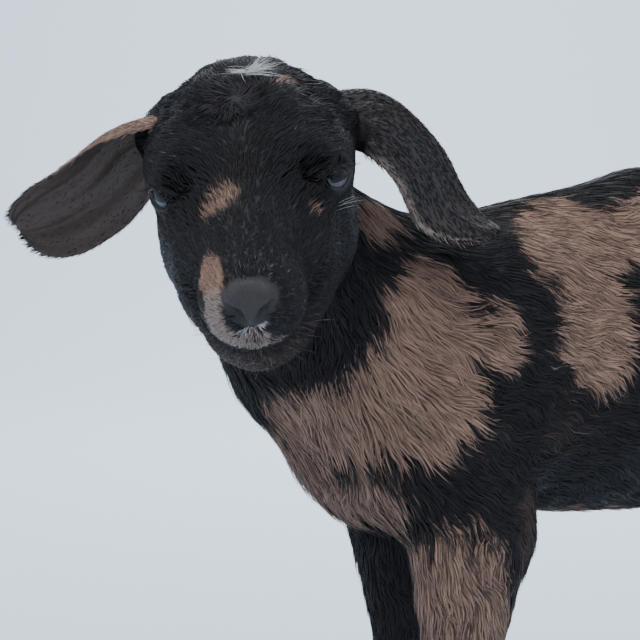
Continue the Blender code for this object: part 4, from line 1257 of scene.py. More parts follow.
@dataclass
class Ear:
    """A long ear: a leaf rolled at its root, opening to a hollow with folds and turned-in rims."""

    name: str
    steps: int = 56
    columns: int = 36
    curl: tuple = (0.008, 0.0, 0.003)
    folds: float = 0.0011

    def along(self, share: float) -> tuple[Array, Array]:
        """Place and direction on the smooth curve through the ear's points."""
        points = EARS[self.name][0]
        spans = len(points) - 1
        span = min(int(share * spans), spans - 1)
        t = share * spans - span
        a, b, c, d = (np.array(points[min(max(span + k, 0), spans)], float) for k in (-1, 0, 1, 2))
        curve, bend = 2 * a - 5 * b + 4 * c - d, 3 * b - a - 3 * c + d
        place = 0.5 * (2 * b + (c - a) * t + curve * t**2 + bend * t**3)
        return place, unit(0.5 * ((c - a) + 2 * curve * t + 3 * bend * t**2))

    def leaf(self, share: float, across: Array) -> Array:
        """Points of the leaf's middle surface, from rim to rim."""
        place, way = self.along(share)
        face = np.array(EARS[self.name][1], float)
        face = unit(face - way * (face @ way))
        side = np.cross(way, face)
        widen = 0.42 + 0.58 * math.sin(0.5 * math.pi * min(share / 0.55, 1.0))
        past = max(share - 0.7, 0.0) / 0.3
        half = EAR_WIDE * widen * math.sqrt(max(1.0 - past * past, 0.02))
        bend = math.radians(118.0 - 62.0 * min(share / 0.45, 1.0))
        radius = half / max(math.sin(min(bend, math.pi / 2)), 0.5)
        lean = bend * across
        fold = np.sin(9.0 * across + 2.2 * share) + 0.6 * np.sin(17.0 * across - 3.0 * share + 1.0)
        fold = self.folds * fold * (1.0 - across**4) * min(share / 0.2, 1.0) * min((1.0 - share) / 0.2, 1.0)
        local = place + side * (radius * np.sin(lean))[:, None]
        local = local + face * (radius * (1.0 - np.cos(lean)) + fold)[:, None]
        if self.name == "ear_left":
            local = local + np.array(self.curl) * (max(share - 0.74, 0.0) / 0.26) ** 2
        return from_head(local)

    def build(self) -> bpy.types.Mesh:
        """The leaf as a closed shell that thins toward its rim."""
        across = np.linspace(-1.0, 1.0, self.columns + 1)
        middle = np.array([self.leaf(step / self.steps, across) for step in range(self.steps + 1)])
        down = np.gradient(middle, axis=0)
        sideways = np.gradient(middle, axis=1)
        normal = unit(np.cross(down, sideways))
        rim = np.minimum(1.0 - np.abs(across), 0.12) / 0.12
        end = np.minimum(np.linspace(1.0, 0.0, self.steps + 1), 0.05) / 0.05
        thick = 0.5 * EAR_THICK * (0.35 + 0.65 * np.sqrt(rim)[None, :] * np.sqrt(end)[:, None])
        upper = (middle + normal * thick[..., None]).reshape(-1, 3)
        lower = (middle - normal * thick[..., None]).reshape(-1, 3)
        wide = self.columns + 1
        count = len(upper)
        faces = []
        for row in range(self.steps):
            for column in range(self.columns):
                a = row * wide + column
                faces.append((a, a + wide, a + wide + 1, a + 1))
                faces.append((count + a, count + a + 1, count + a + wide + 1, count + a + wide))
        edge = [row * wide for row in range(self.steps + 1)]
        edge += [self.steps * wide + column for column in range(1, wide)]
        edge += [row * wide + self.columns for row in range(self.steps - 1, -1, -1)]
        edge += [column for column in range(self.columns - 1, 0, -1)]
        for a, b in zip(edge, edge[1:] + edge[:1]):
            faces.append((a, count + a, count + b, b))
        mesh = new_mesh(self.name, np.concatenate([upper, lower]), faces)
        shape = bmesh.new()
        shape.from_mesh(mesh)
        bmesh.ops.recalc_face_normals(shape, faces=shape.faces)
        shape.to_mesh(mesh)
        shape.free()
        share = np.tile(np.repeat(np.linspace(0.0, 1.0, self.steps + 1), wide), 2)
        aside = np.tile(across, 2 * (self.steps + 1))
        face_way = HEAD_AXES @ np.array(EARS[self.name][1], float)
        upper_faces_in = (normal.reshape(-1, 3) @ face_way).mean() > 0.0
        inner = np.repeat((1.0, 0.0) if upper_faces_in else (0.0, 1.0), count)
        colour_attributes(mesh, {"ear_share": share, "ear_across": aside, "ear_inner": inner})
        return mesh

    def masks(self, share: Array, inner: Array, across: Array, points: Array) -> dict[str, Array]:
        """Colours of the ear."""
        found = {mark.value: np.zeros(len(share)) for mark in Marking}
        ragged = 0.05 * wobble(points, 0.01, 4)
        if self.name == "ear_right":
            found["tan"] = 0.85 * (1.0 - inner) * ramp(share + ragged, 0.66, 0.4)
            found["brown"] = np.ones(len(share))
        else:
            found["brown"] = 0.14 + 0.34 * inner
            found["pale"] = 0.6 * ramp(across, -0.84, -0.95) * ramp(share, 0.25, 0.45)
        return found

    def dress(self, mesh: bpy.types.Mesh) -> bpy.types.Object:
        """Stores the ear's colours and finishes the piece."""
        share, inner, across = (stored_values(mesh, f"ear_{item}") for item in ("share", "inner", "across"))
        colour_attributes(mesh, self.masks(share, inner, across, vertex_points(mesh)))
        finish = CoatFinish(f"{self.name}_skin", roughness=0.6, bare=True).make()
        piece = finished(f"{self.name}_leaf", mesh.copy(), finish)
        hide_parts(self.name)
        return piece


@dataclass
class Roots:
    """Where the tufts of one piece of coat grow."""

    place: Array
    normal: Array
    corner: Array
    weight: Array

    def read(self, values: Array) -> Array:
        """Numbers or vectors of the mesh's vertices, read at the roots."""
        taken = values[self.corner]
        weight = self.weight if taken.ndim == 2 else self.weight[..., None]
        return (taken * weight).sum(axis=1)


def scattered(mesh: bpy.types.Mesh, wanted: Array, count: int, rng: np.random.Generator) -> Roots:
    """Roots spread over a mesh.

    Args:
        mesh: the mesh that they grow on.
        wanted: how densely they grow at each vertex.
        count: how many there are.
        rng: the seeded draw.

    Returns:
        The roots.
    """
    points, corners, normals = vertex_points(mesh), triangles_of(mesh), vertex_normals(mesh)
    a, b, c = (points[corners[:, index]] for index in range(3))
    area = np.linalg.norm(np.cross(b - a, c - a), axis=1) * wanted[corners].mean(axis=1)
    picks = np.cumsum(area) / area.sum()
    chosen = np.searchsorted(picks, (np.arange(count) + rng.uniform(0.0, 1.0, count)) / count)
    chosen = np.minimum(chosen, len(corners) - 1)
    first, second = rng.uniform(0.0, 1.0, (2, count))
    flip = first + second > 1.0
    first[flip], second[flip] = 1.0 - first[flip], 1.0 - second[flip]
    weight = np.stack([1.0 - first - second, first, second], axis=1)
    corner = corners[chosen]
    place = (points[corner] * weight[..., None]).sum(axis=1)
    normal = unit((normals[corner] * weight[..., None]).sum(axis=1))
    return Roots(place, normal, corner, weight)


class TuftTree:
    """Geometry Nodes that grow one bending, tapered tuft from each root point."""

    def __init__(self, name: str) -> None:
        """Builds the tree and its named inputs."""
        self.tree = bpy.data.node_groups.new(name, "GeometryNodeTree")
        face = self.tree.interface
        face.new_socket("Geometry", in_out="INPUT", socket_type="NodeSocketGeometry")
        self.sockets = {}
        kinds = {"Rings": "Int", "Finish": "Material"}
        for title in ("Rings", "Belly", "Thickness", "Patch", "Finish"):
            kind = "NodeSocket" + kinds.get(title, "Float")
            self.sockets[title] = face.new_socket(title, in_out="INPUT", socket_type=kind).identifier
        face.new_socket("Geometry", in_out="OUTPUT", socket_type="NodeSocketGeometry")
        self.graph = Graph(self.tree)
        self.lay_out()

    def named(self, name: str) -> Wire:
        """A vector that is stored on the points."""
        settings = {"data_type": "FLOAT_VECTOR"}
        return self.graph.made("GeometryNodeInputNamedAttribute", settings, {"Name": name}, "Attribute")

    def stored(self, mesh: Wire, name: str, value: Wire, kind: str, domain: str = "POINT") -> Wire:
        """The mesh with a value stored on it."""
        settings = {"data_type": kind, "domain": domain}
        inputs = {"Geometry": mesh, "Name": name, "Value": value}
        return self.graph.made("GeometryNodeStoreNamedAttribute", settings, inputs, "Geometry")

    def lay_out(self) -> None:
        """Lays the nodes out."""
        graph = self.graph
        entry = graph.add("NodeGroupInput")
        belly, thickness = graph.wire(entry, "Belly"), graph.wire(entry, "Thickness")
        sizes = {"Vertices": 3, "Fill Segments": 1, "Radius Top": 0.0, "Radius Bottom": 1.0, "Depth": 1.0}
        inputs = {**sizes, "Side Segments": graph.wire(entry, "Rings")}
        cone = graph.made("GeometryNodeMeshCone", {"fill_type": "NGON"}, inputs, "Mesh")
        position = graph.made("GeometryNodeInputPosition", {}, {})
        blade = self.stored(cone, "blade", position, "FLOAT_VECTOR")
        inputs = {"Points": graph.wire(entry, "Geometry"), "Instance": blade}
        grown = graph.made("GeometryNodeInstanceOnPoints", {}, inputs, "Instances")
        real = graph.made("GeometryNodeRealizeInstances", {}, {"Geometry": grown}, "Geometry")
        split = graph.add("ShaderNodeSeparateXYZ", {}, {0: self.named("blade")})
        top, wide, share = (graph.wire(split, index) for index in range(3))
        rest = 1.0 - share
        weights = [rest * rest * rest, 3.0 * rest * rest * share, 3.0 * rest * share * share]
        weights.append(share * share * share)
        terms = [self.named(f"bend_{index}") * weight for index, weight in enumerate(weights)]
        bend = terms[0] + terms[1] + terms[2] + terms[3]
        swell = 1.0 + belly * share
        bend = bend + self.named("side") * (wide * swell)
        bend = bend + self.named("out") * (top * swell * thickness)
        moved = graph.made("GeometryNodeSetPosition", {}, {"Geometry": real, "Position": bend}, "Geometry")
        tufts = self.stored(moved, "along", share, "FLOAT")
        tufts = self.stored(tufts, "across", wide, "FLOAT")
        spread = graph.made("ShaderNodeCombineXYZ", {}, {0: wide * 0.5, 1: share - 0.5})
        corner = self.named("root_map") + spread * graph.wire(entry, "Patch")
        tufts = self.stored(tufts, "OFBake", corner, "FLOAT2", "CORNER")
        inputs = {"Geometry": tufts, "Material": graph.wire(entry, "Finish")}
        painted = graph.made("GeometryNodeSetMaterial", {}, inputs, "Geometry")
        graph.add("NodeGroupOutput", {}, {0: painted})

    def grow(
        self, name: str, points: bpy.types.Mesh, rings: int, thickness: float, finish: bpy.types.Material
    ) -> bpy.types.Mesh:
        """Grows the tufts on a mesh of root points.

        Args:
            name: name of the mesh.
            points: root points with their attributes.
            rings: lengths that a tuft is made of.
            thickness: how thick a tuft is, as a share of its half-width.
            finish: its material.

        Returns:
            The mesh of all tufts.
        """
        thing = linked(name + "_roots", points)
        growth = thing.modifiers.new("growth", "NODES")
        growth.node_group = self.tree
        values = {"Rings": rings, "Belly": BELLY, "Thickness": thickness, "Patch": PATCH, "Finish": finish}
        for title, value in values.items():
            growth[self.sockets[title]] = value
        mesh = applied(thing)
        mesh.name = name
        spent = ("blade", "bend_0", "bend_1", "bend_2", "bend_3", "side", "out", "root_map")
        for item in spent:
            if item in mesh.attributes:
                mesh.attributes.remove(mesh.attributes[item])
        return mesh


@dataclass
class Habit:
    """How the tufts of one piece of coat grow.

    Args:
        length: length of a tuft at each root.
        width: half-width of a tuft at each root.
        way: the way that they lie.
        lift: how far the tips stand off, as a share of the length.
        clump: distance between the middles of clumps.
        pull: how strongly tips are drawn to the middle of their clump.
        wave: how far a tuft swings from side to side, in metres.
        pitch: length of one swing.
        flow: the way that the waves run on over the coat. Without it each clump has its own.
        rises: height of each third of a tuft, as a share of its lift.
        stray: how far single tufts turn from the way.
        broad: share of the tufts that are broad, under the finer ones.
    """

    length: Array
    width: Array
    way: Array
    lift: Array
    clump: float = 0.0055
    pull: float = 0.55
    wave: float = 0.001
    pitch: float = 0.016
    flow: Optional[Point] = None
    rises: Point = (0.55, 0.95, 0.8)
    stray: float = 0.07
    broad: float = 0.0


@dataclass
class Coat:
    """Grows the tufts of every piece of coat."""

    tree: TuftTree
    finish: bpy.types.Material
    seed: int = 7
    grown: int = 0

    def clumped(self, roots: Roots, spacing: float, rng: np.random.Generator) -> tuple[Array, Array]:
        """The middle of each root's clump, and a number from 0 to 1 that the clump shares."""
        low = roots.place.min(axis=0)
        cells = {}
        jitter = rng.uniform(0.0, 1.0, len(roots.place))
        keys = np.floor((roots.place - low) / spacing).astype(int)
        order = np.argsort(jitter)
        for index in order:
            cells.setdefault(tuple(keys[index]), index)
        chosen = np.array(sorted(cells.values()))
        tree = KDTree(len(chosen))
        for number, index in enumerate(chosen):
            tree.insert(roots.place[index], number)
        tree.balance()
        nearest = np.array([tree.find(place)[1] for place in roots.place])
        shared = rng.uniform(0.0, 1.0, len(chosen))
        return roots.place[chosen[nearest]], shared[nearest]

    def grow(
        self, name: str, roots: Roots, habit: Habit, masks: dict[str, Array], unwrap: Array, rings: int,
        pressed: Optional[Callable] = None, thickness: float = 0.35, dark: Optional[Array] = None,
    ) -> bpy.types.Object:
        """Grows one piece of coat.

        Args:
            name: name of the piece.
            roots: where its tufts grow.
            habit: how they grow.
            masks: colours at the roots.
            unwrap: place of each root on the map, from 0 to 1.
            rings: lengths that a tuft is made of.
            pressed: draws points onto the skin.
            thickness: how thick a tuft is, as a share of its half-width.
            dark: painted shade, a brightness for each tuft that is lowered in the hollow under the brow and
                along the mouth line.

        Returns:
            The finished piece.
        """
        rng = np.random.default_rng(self.seed + self.grown)
        self.grown += 1
        count = len(roots.place)
        middle, shared = self.clumped(roots, habit.clump, rng)
        length = habit.length * rng.uniform(0.8, 1.2, count)
        broad = rng.uniform(0.0, 1.0, count) < habit.broad
        width = habit.width * np.where(broad, 2.1, 0.95)
        way = unit(habit.way - roots.normal * (habit.way * roots.normal).sum(axis=1, keepdims=True))
        way = unit(way + habit.stray * rng.normal(size=(count, 3)))
        side = unit(np.cross(roots.normal, way))
        toward = (middle - roots.place) * habit.pull
        toward -= roots.normal * (toward * roots.normal).sum(axis=1, keepdims=True)
        turn = 2.0 * math.pi / habit.pitch
        if habit.flow is None:
            phase = 2.0 * math.pi * shared + 0.4 * rng.normal(size=count)
        else:
            phase = turn * (roots.place @ unit(np.array(habit.flow))) + 1.6 * wobble(roots.place, 0.03, 41)
            phase = phase + 0.3 * rng.normal(size=count)
        lift = habit.lift * (0.55 + 0.9 * shared) * rng.uniform(0.8, 1.2, count) * np.where(broad, 0.75, 1.1)
        bends = [roots.place - roots.normal * ROOT_DEPTH]
        for step, rise in enumerate(habit.rises, 1):
            share = step / 3.0
            swing = habit.wave * (np.sin(phase + turn * length * share) - np.sin(phase))
            place = roots.place + way * (length * share)[:, None] + side * swing[:, None]
            place = place + toward * share**1.4
            if pressed is not None:
                place = pressed(place)
            bends.append(place + roots.normal * (length * lift * rise)[:, None])
        points = new_mesh(name + "_roots", roots.place, [])
        vectors = {f"bend_{index}": bend for index, bend in enumerate(bends)}
        vectors["side"] = side * width[:, None]
        vectors["out"] = roots.normal * width[:, None]
        vectors["root_map"] = np.concatenate([0.01 + 0.98 * unwrap, np.zeros((count, 1))], axis=1)
        for title, values in vectors.items():
            made = points.attributes.new(title, "FLOAT_VECTOR", "POINT")
            made.data.foreach_set("vector", np.ascontiguousarray(values, np.float32).reshape(-1))
        shade = np.clip(0.5 + 0.3 * (shared - 0.5) + 0.14 * rng.normal(size=count), 0.0, 1.0)
        drawn = rng.uniform(0.0, 1.0, count)
        masks = {title: ramp(mask, drawn - 0.35, drawn + 0.35) * mask**0.25 for title, mask in masks.items()}
        # Painted shade: the tuft's brightness is lowered where dark is below 1
        shade = shade * (1.0 if dark is None else dark)
        colour_attributes(points, masks, shade=shade, breadth=width / 0.0005)
        mesh = self.tree.grow(name, points, rings, thickness, self.finish)
        return finished(name, mesh, self.finish)


@dataclass
class BodyCoat:
    """Wavy coat of neck, trunk, tail and legs, in pieces along the body."""

    shape: KidShape
    skin: Skin
    markings: Markings
    coat: Coat

    @staticmethod
    def lie(points: Array, normals: Array) -> Array:
        """The way that the coat lies: back and down, straight down the chest and the legs."""
        x, y, z = points.T
        back = ramp(y, -0.185, -0.085)
        low = ramp(z, 0.285, 0.235)
        way = np.zeros((len(points), 3))
        way[:, 1] = 0.15 + 0.85 * back * (1.0 - 0.8 * low)
        way[:, 2] = -1.0 + 0.55 * back * (1.0 - low)
        way[:, 0] = 0.35 * np.sign(x) * ramp(np.abs(normals[:, 2]), 0.5, 0.9) * (1.0 - low)
        belly = ramp(normals[:, 2], -0.5, -0.8) * ramp(z, 0.23, 0.24)
        way[:, 1] += belly
        haunch = ramp(y, 0.15, 0.21) * ramp(z, 0.22, 0.26)
        way[:, 2] -= 0.8 * haunch
        way[:, 1] -= 0.5 * haunch
        tail = y > TAIL_ROOT[1] + 0.012
        way[tail] = (0.0, 0.3, -1.0)
        turn = 0.34 * wobble(points, 0.034, 21) + 0.2 * wobble(points, 0.012, 22)
        side = np.cross(normals, unit(way))
        return unit(way) + side * turn[:, None]

    def on_spurs(self, points: Array) -> Array:
        """Which points lie inside the dewclaws, where no hair grows."""
        found = np.zeros(len(points), bool)
        for name in self.shape.legs:
            x, ground = self.shape.leg_place(name)
            behind = points[:, 1] - ground
            near = (np.abs(points[:, 0] - x) < 0.02) & (np.abs(points[:, 2] - SPUR_HIGH) < 0.01)
            found |= near & (behind > 0.013) & (behind < 0.022)
        return found

    def pieces(self) -> list[tuple[str, Callable, int]]:
        """Name, area and count of tufts of each piece."""

        def trunk(low: float, high: float) -> Callable:
            """Trunk and upper legs between two places along the body."""
            return lambda p: (p[:, 1] >= low) & (p[:, 1] < high) & (p[:, 2] > SHANK_HIGH)

        def shank(front: bool) -> Callable:
            """Lower legs of one pair."""
            return lambda p: (p[:, 2] <= SHANK_HIGH) & ((p[:, 1] < 0.04) == front)

        return [
            ("coat_neck", trunk(-0.3, -0.128), 11700),
            ("coat_shoulder", trunk(-0.128, -0.082), 11500),
            ("coat_elbow", trunk(-0.082, -0.03), 10500),
            ("coat_ribs", trunk(-0.03, 0.055), 6600),
            ("coat_loin", trunk(0.055, 0.145), 5400),
            ("coat_rump", trunk(0.145, 0.3), 7000),
            ("coat_forelegs", shank(True), 6000),
            ("coat_hindlegs", shank(False), 6500),
        ]

    def grow(self) -> None:
        """Grows every piece of the body's coat."""
        mesh = self.skin.mesh
        points = vertex_points(mesh)
        body = ~self.skin.on_head(points)
        near = self.shape.trunk + self.shape.limbs + self.shape.head[:1]
        depth = self.shape.coat_depth
        for number, (name, where, count) in enumerate(self.pieces()):
            rng = np.random.default_rng(100 + number)
            above_claws = (points[:, 2] > 0.0205) & ~self.on_spurs(points)
            roots = scattered(mesh, (where(points) & body & above_claws).astype(float), count, rng)
            place = roots.place
            high = ramp(place[:, 2], 0.12, 0.24)
            chest = ramp(place[:, 1], -0.11, -0.14) * ramp(place[:, 2], 0.35, 0.3)
            tail = (place[:, 1] > TAIL_ROOT[1] + 0.012).astype(float)
            length = 0.0052 + 0.0098 * high + 0.004 * chest + 0.006 * tail
            hidden = 1.25 * ramp(place[:, 1], -0.03, 0.02) * high
            width = 0.00032 + 0.00009 * high + 0.00012 * hidden
            back = ramp(roots.normal[:, 2], 0.3, 0.8)
            lift = (0.075 + 0.025 * high + 0.03 * chest) * (1.0 - 0.55 * back)
            way = self.lie(place, roots.normal)
            habit = Habit(length, width, way, lift, 0.0058, 0.7, broad=0.5)
            loose = ramp(place[:, 1], -0.112, -0.09) * ramp(place[:, 1], -0.02, -0.045)
            loose = loose * ramp(place[:, 2], 0.225, 0.25) * ramp(place[:, 2], 0.35, 0.32)
            habit.wave = 0.0005 + 0.0009 * high + 0.0016 * loose
            habit.pitch = 0.018
            habit.flow = (0.0, 0.6, -0.8)
            masks = self.markings.masks(place + unit(way) * (0.55 * length)[:, None])
            angle = np.arctan2(place[:, 0], place[:, 2] - 0.31) / (2.0 * math.pi) + 0.5
            span = place[:, 1] if place[:, 2].min() > 0.14 else place[:, 2]
            span = (span - span.min()) / (span.max() - span.min())

            def pressed(spots: Array) -> Array:
                """Draws the spots onto the skin."""
                return self.shape.drawn(spots, near, (), depth, 1)

            rings = 3 if high.max() > 0.5 else 2
            self.coat.grow(name, roots, habit, masks, np.stack([angle, span], axis=1), rings, pressed, 0.22)


@dataclass
class HeadCoat:
    """Short sleek hair of the face, and the longer curls between the ears."""

    shape: KidShape
    skin: Skin
    markings: Markings
    coat: Coat
    whorl: tuple = (-0.002, 0.001)

    def haired(self, points: Array) -> Array:
        """1 where hair grows, 0 on nose pad, lips and lid rims."""
        local = to_head(points)
        found = ramp(nose_pad(local), 0.96, 1.06)
        for lids in BOTH_LIDS:
            found = found * np.where(lids.near(points, 0.006), ramp(lids.share(points), 1.14, 1.3), 1.0)
        mouth = np.minimum(self.shape.creases[0].distance(points), self.shape.creases[1].distance(points))
        return found * ramp(mouth, 0.0, 0.0009)

    def lie(self, points: Array) -> Array:
        """Hair streams up from the nose, fans out over the brow, and winds round the whorl."""
        local = to_head(points)
        x, y, z = local.T
        way = np.zeros_like(local)
        middle = np.tanh(x / 0.004)
        way[:, 0] = 20.0 * x + 0.2 * middle
        way[:, 1] = 1.0
        way[:, 2] = 0.2
        brow = ramp(y, -0.04, -0.005) * ramp(z, 0.0, 0.015)
        way[:, 0] += 0.75 * middle * brow
        cheek = ramp(z, 0.002, -0.018)
        way[:, 2] -= 0.9 * cheek
        lips = ramp(y, -0.066, -0.08) * ramp(z, -0.004, -0.012)
        way[:, 0] += 1.2 * middle * lips
        way[:, 2] -= 0.8 * lips
        arm = local[:, :2] - np.array(self.whorl)
        reach = np.linalg.norm(arm, axis=1, keepdims=True)
        arm = arm / np.maximum(reach, 1e-6)
        wind = 0.95 * np.exp(-((reach / 0.014) ** 2)) * ramp(z, 0.015, 0.025)[:, None]
        aside, behind = arm.T
        spiral = np.stack([0.5 * aside - 0.9 * behind, 0.5 * behind + 0.9 * aside, 0.0 * x], axis=1)
        crown = ramp(y, -0.002, 0.014)[:, None] * ramp(z, 0.012, 0.024)[:, None]
        outward = np.stack([aside, 0.5 + 0.6 * behind, np.zeros(len(x))], axis=1)
        way = way * (1.0 - 0.7 * crown) + 0.9 * outward * crown
        way = way * (1.0 - wind) + spiral * wind
        way = unit(way) @ HEAD_AXES.T
        for lids in BOTH_LIDS:
            centre, _, _, out = lids.axes()
            away = points - centre
            away = unit(away - (away @ out)[:, None] * out)
            push = lids.near(points, 0.008) * 2.2 * ramp(lids.share(points), 2.1, 1.2)
            way = way + away * push[:, None]
        turn = 0.22 * wobble(points, 0.012, 31)[:, None] * unit(np.cross(way, HEAD_AXES[:, 2]))
        return unit(way) + turn

    def grow(self) -> None:
        """Grows face, cheeks and crown."""
        mesh = self.skin.mesh
        points = vertex_points(mesh)
        local = to_head(points)
        head = self.skin.on_head(points) * self.haired(points)
        crown = (local[:, 1] > -0.006) & (local[:, 2] > 0.014)
        front = local[:, 1] < -0.03
        parts = (
            ("coat_muzzle", head * (front & ~crown), 16500, 2),
            ("coat_cheeks", head * (~front & ~crown), 15500, 2),
            ("coat_crown", head * crown, 8500, 3),
        )
        for number, (name, wanted, count, rings) in enumerate(parts):
            rng = np.random.default_rng(200 + number)
            density = wanted * (1.0 + 1.6 * ramp(local[:, 1], -0.05, -0.072))
            roots = scattered(mesh, density, count, rng)
            spot = to_head(roots.place)
            tuft = ramp(spot[:, 1], -0.01, 0.012) * ramp(spot[:, 2], 0.012, 0.026)
            snout = ramp(spot[:, 1], -0.03, -0.072)
            length = 0.0082 - 0.005 * snout + 0.0058 * tuft
            for lids in BOTH_LIDS:
                short = 0.35 + 0.65 * ramp(lids.share(roots.place), 1.2, 2.4)
                length = length * np.where(lids.near(roots.place, 0.008), short, 1.0)
            width = 0.0003 - 0.00008 * snout + 0.0002 * tuft
            lift = 0.09 + 0.05 * snout + 0.02 * tuft
            way = self.lie(roots.place)
            curly = float(rings == 3)
            habit = Habit(length, width, way, lift, 0.003 + 0.0034 * curly, 0.45 + 0.3 * curly)
            habit.wave = 0.0004 + 0.0024 * curly * (0.2 + 0.8 * tuft)
            habit.pitch = 0.012 + 0.003 * curly
            habit.stray = 0.06
            habit.broad = 0.15 + 0.3 * curly
            masks = self.markings.masks(roots.place + unit(way) * (0.5 * length)[:, None])
            masks["white"] = np.maximum(masks["white"], self.frosting(spot, rng))
            angle = np.arctan2(spot[:, 0], spot[:, 2] + 0.01) / (2.0 * math.pi) + 0.5
            span = (spot[:, 1] + 0.095) / 0.16
            unwrap = np.stack([angle, np.clip(span, 0.0, 1.0)], axis=1)
            # Painted shade: hair darkened in the hollow under the brow, and down to 0.35 along the mouth
            # line
            dark = 1.0 - 0.9 * ramp(self.shape.creases[2].distance(roots.place), 0.007, -0.001)
            dark = dark * (0.35 + 0.65 * ramp(self.shape.creases[0].distance(roots.place), 0.0008, 0.0032))
            self.coat.grow(name, roots, habit, masks, unwrap, rings, self.pressed, dark=dark)

    @staticmethod
    def frosting(spot: Array, rng: np.random.Generator) -> Array:
        """Single grey hairs: many above the nose, some on the left of the muzzle, few elsewhere."""
        x, y, z = spot.T
        above = np.exp(-(((x - 0.001) / 0.012) ** 2) - ((z - 0.0075) / 0.004) ** 2) * ramp(y, -0.066, -0.076)
        beside = ramp(y, -0.06, -0.072) * ramp(x, 0.004, 0.01) * ramp(z, -0.026, -0.018)
        share = 0.01 + 0.55 * above + 0.18 * beside
        drawn = rng.uniform(0.0, 1.0, len(spot)) < share
        return drawn * rng.uniform(0.0005, 0.006, len(spot)) * (1.0 + 2.0 * above)

    def pressed(self, spots: Array) -> Array:
        """Draws the spots onto the skin of head and neck."""
        groups = self.shape.head + self.shape.trunk[1:2]
        return self.shape.drawn(spots, groups, (), self.shape.coat_depth, 1)


@dataclass
class EarCoat:
    """Sleek hair on both faces of an ear."""

    ear: Ear
    mesh: bpy.types.Mesh
    coat: Coat
    count: int = 6000

    def grow(self) -> None:
        """Grows the ear's hair, root to tip."""
        rng = np.random.default_rng(300 + len(self.ear.name))
        share, inner = stored_values(self.mesh, "ear_share"), stored_values(self.mesh, "ear_inner")
        wanted = (share > 0.02) * (1.0 - 0.7 * inner)
        roots = scattered(self.mesh, wanted, self.count, rng)
        at, side = roots.read(share), roots.read(inner)
        across = roots.read(stored_values(self.mesh, "ear_across"))
        ways = np.array([self.ear.along(value)[1] for value in np.linspace(0.0, 1.0, 65)])
        way = ways[np.clip((at * 64).astype(int), 0, 64)] @ HEAD_AXES.T
        rim = np.abs(across)
        length = 0.0036 - 0.0014 * side + 0.0012 * ramp(rim, 0.8, 1.0)
        width = np.full(len(at), 0.00024)
        lift = 0.05 + 0.07 * ramp(rim, 0.85, 1.0)
        habit = Habit(length, width, way, lift, 0.003, 0.3, 0.0002)
        masks = self.ear.masks(at, side, across, roots.place)
        unwrap = np.stack([0.25 * (across + 1.0) + 0.5 * np.round(side), at], axis=1)
        self.coat.grow(f"coat_{self.ear.name}", roots, habit, masks, np.clip(unwrap, 0.0, 1.0), 2)


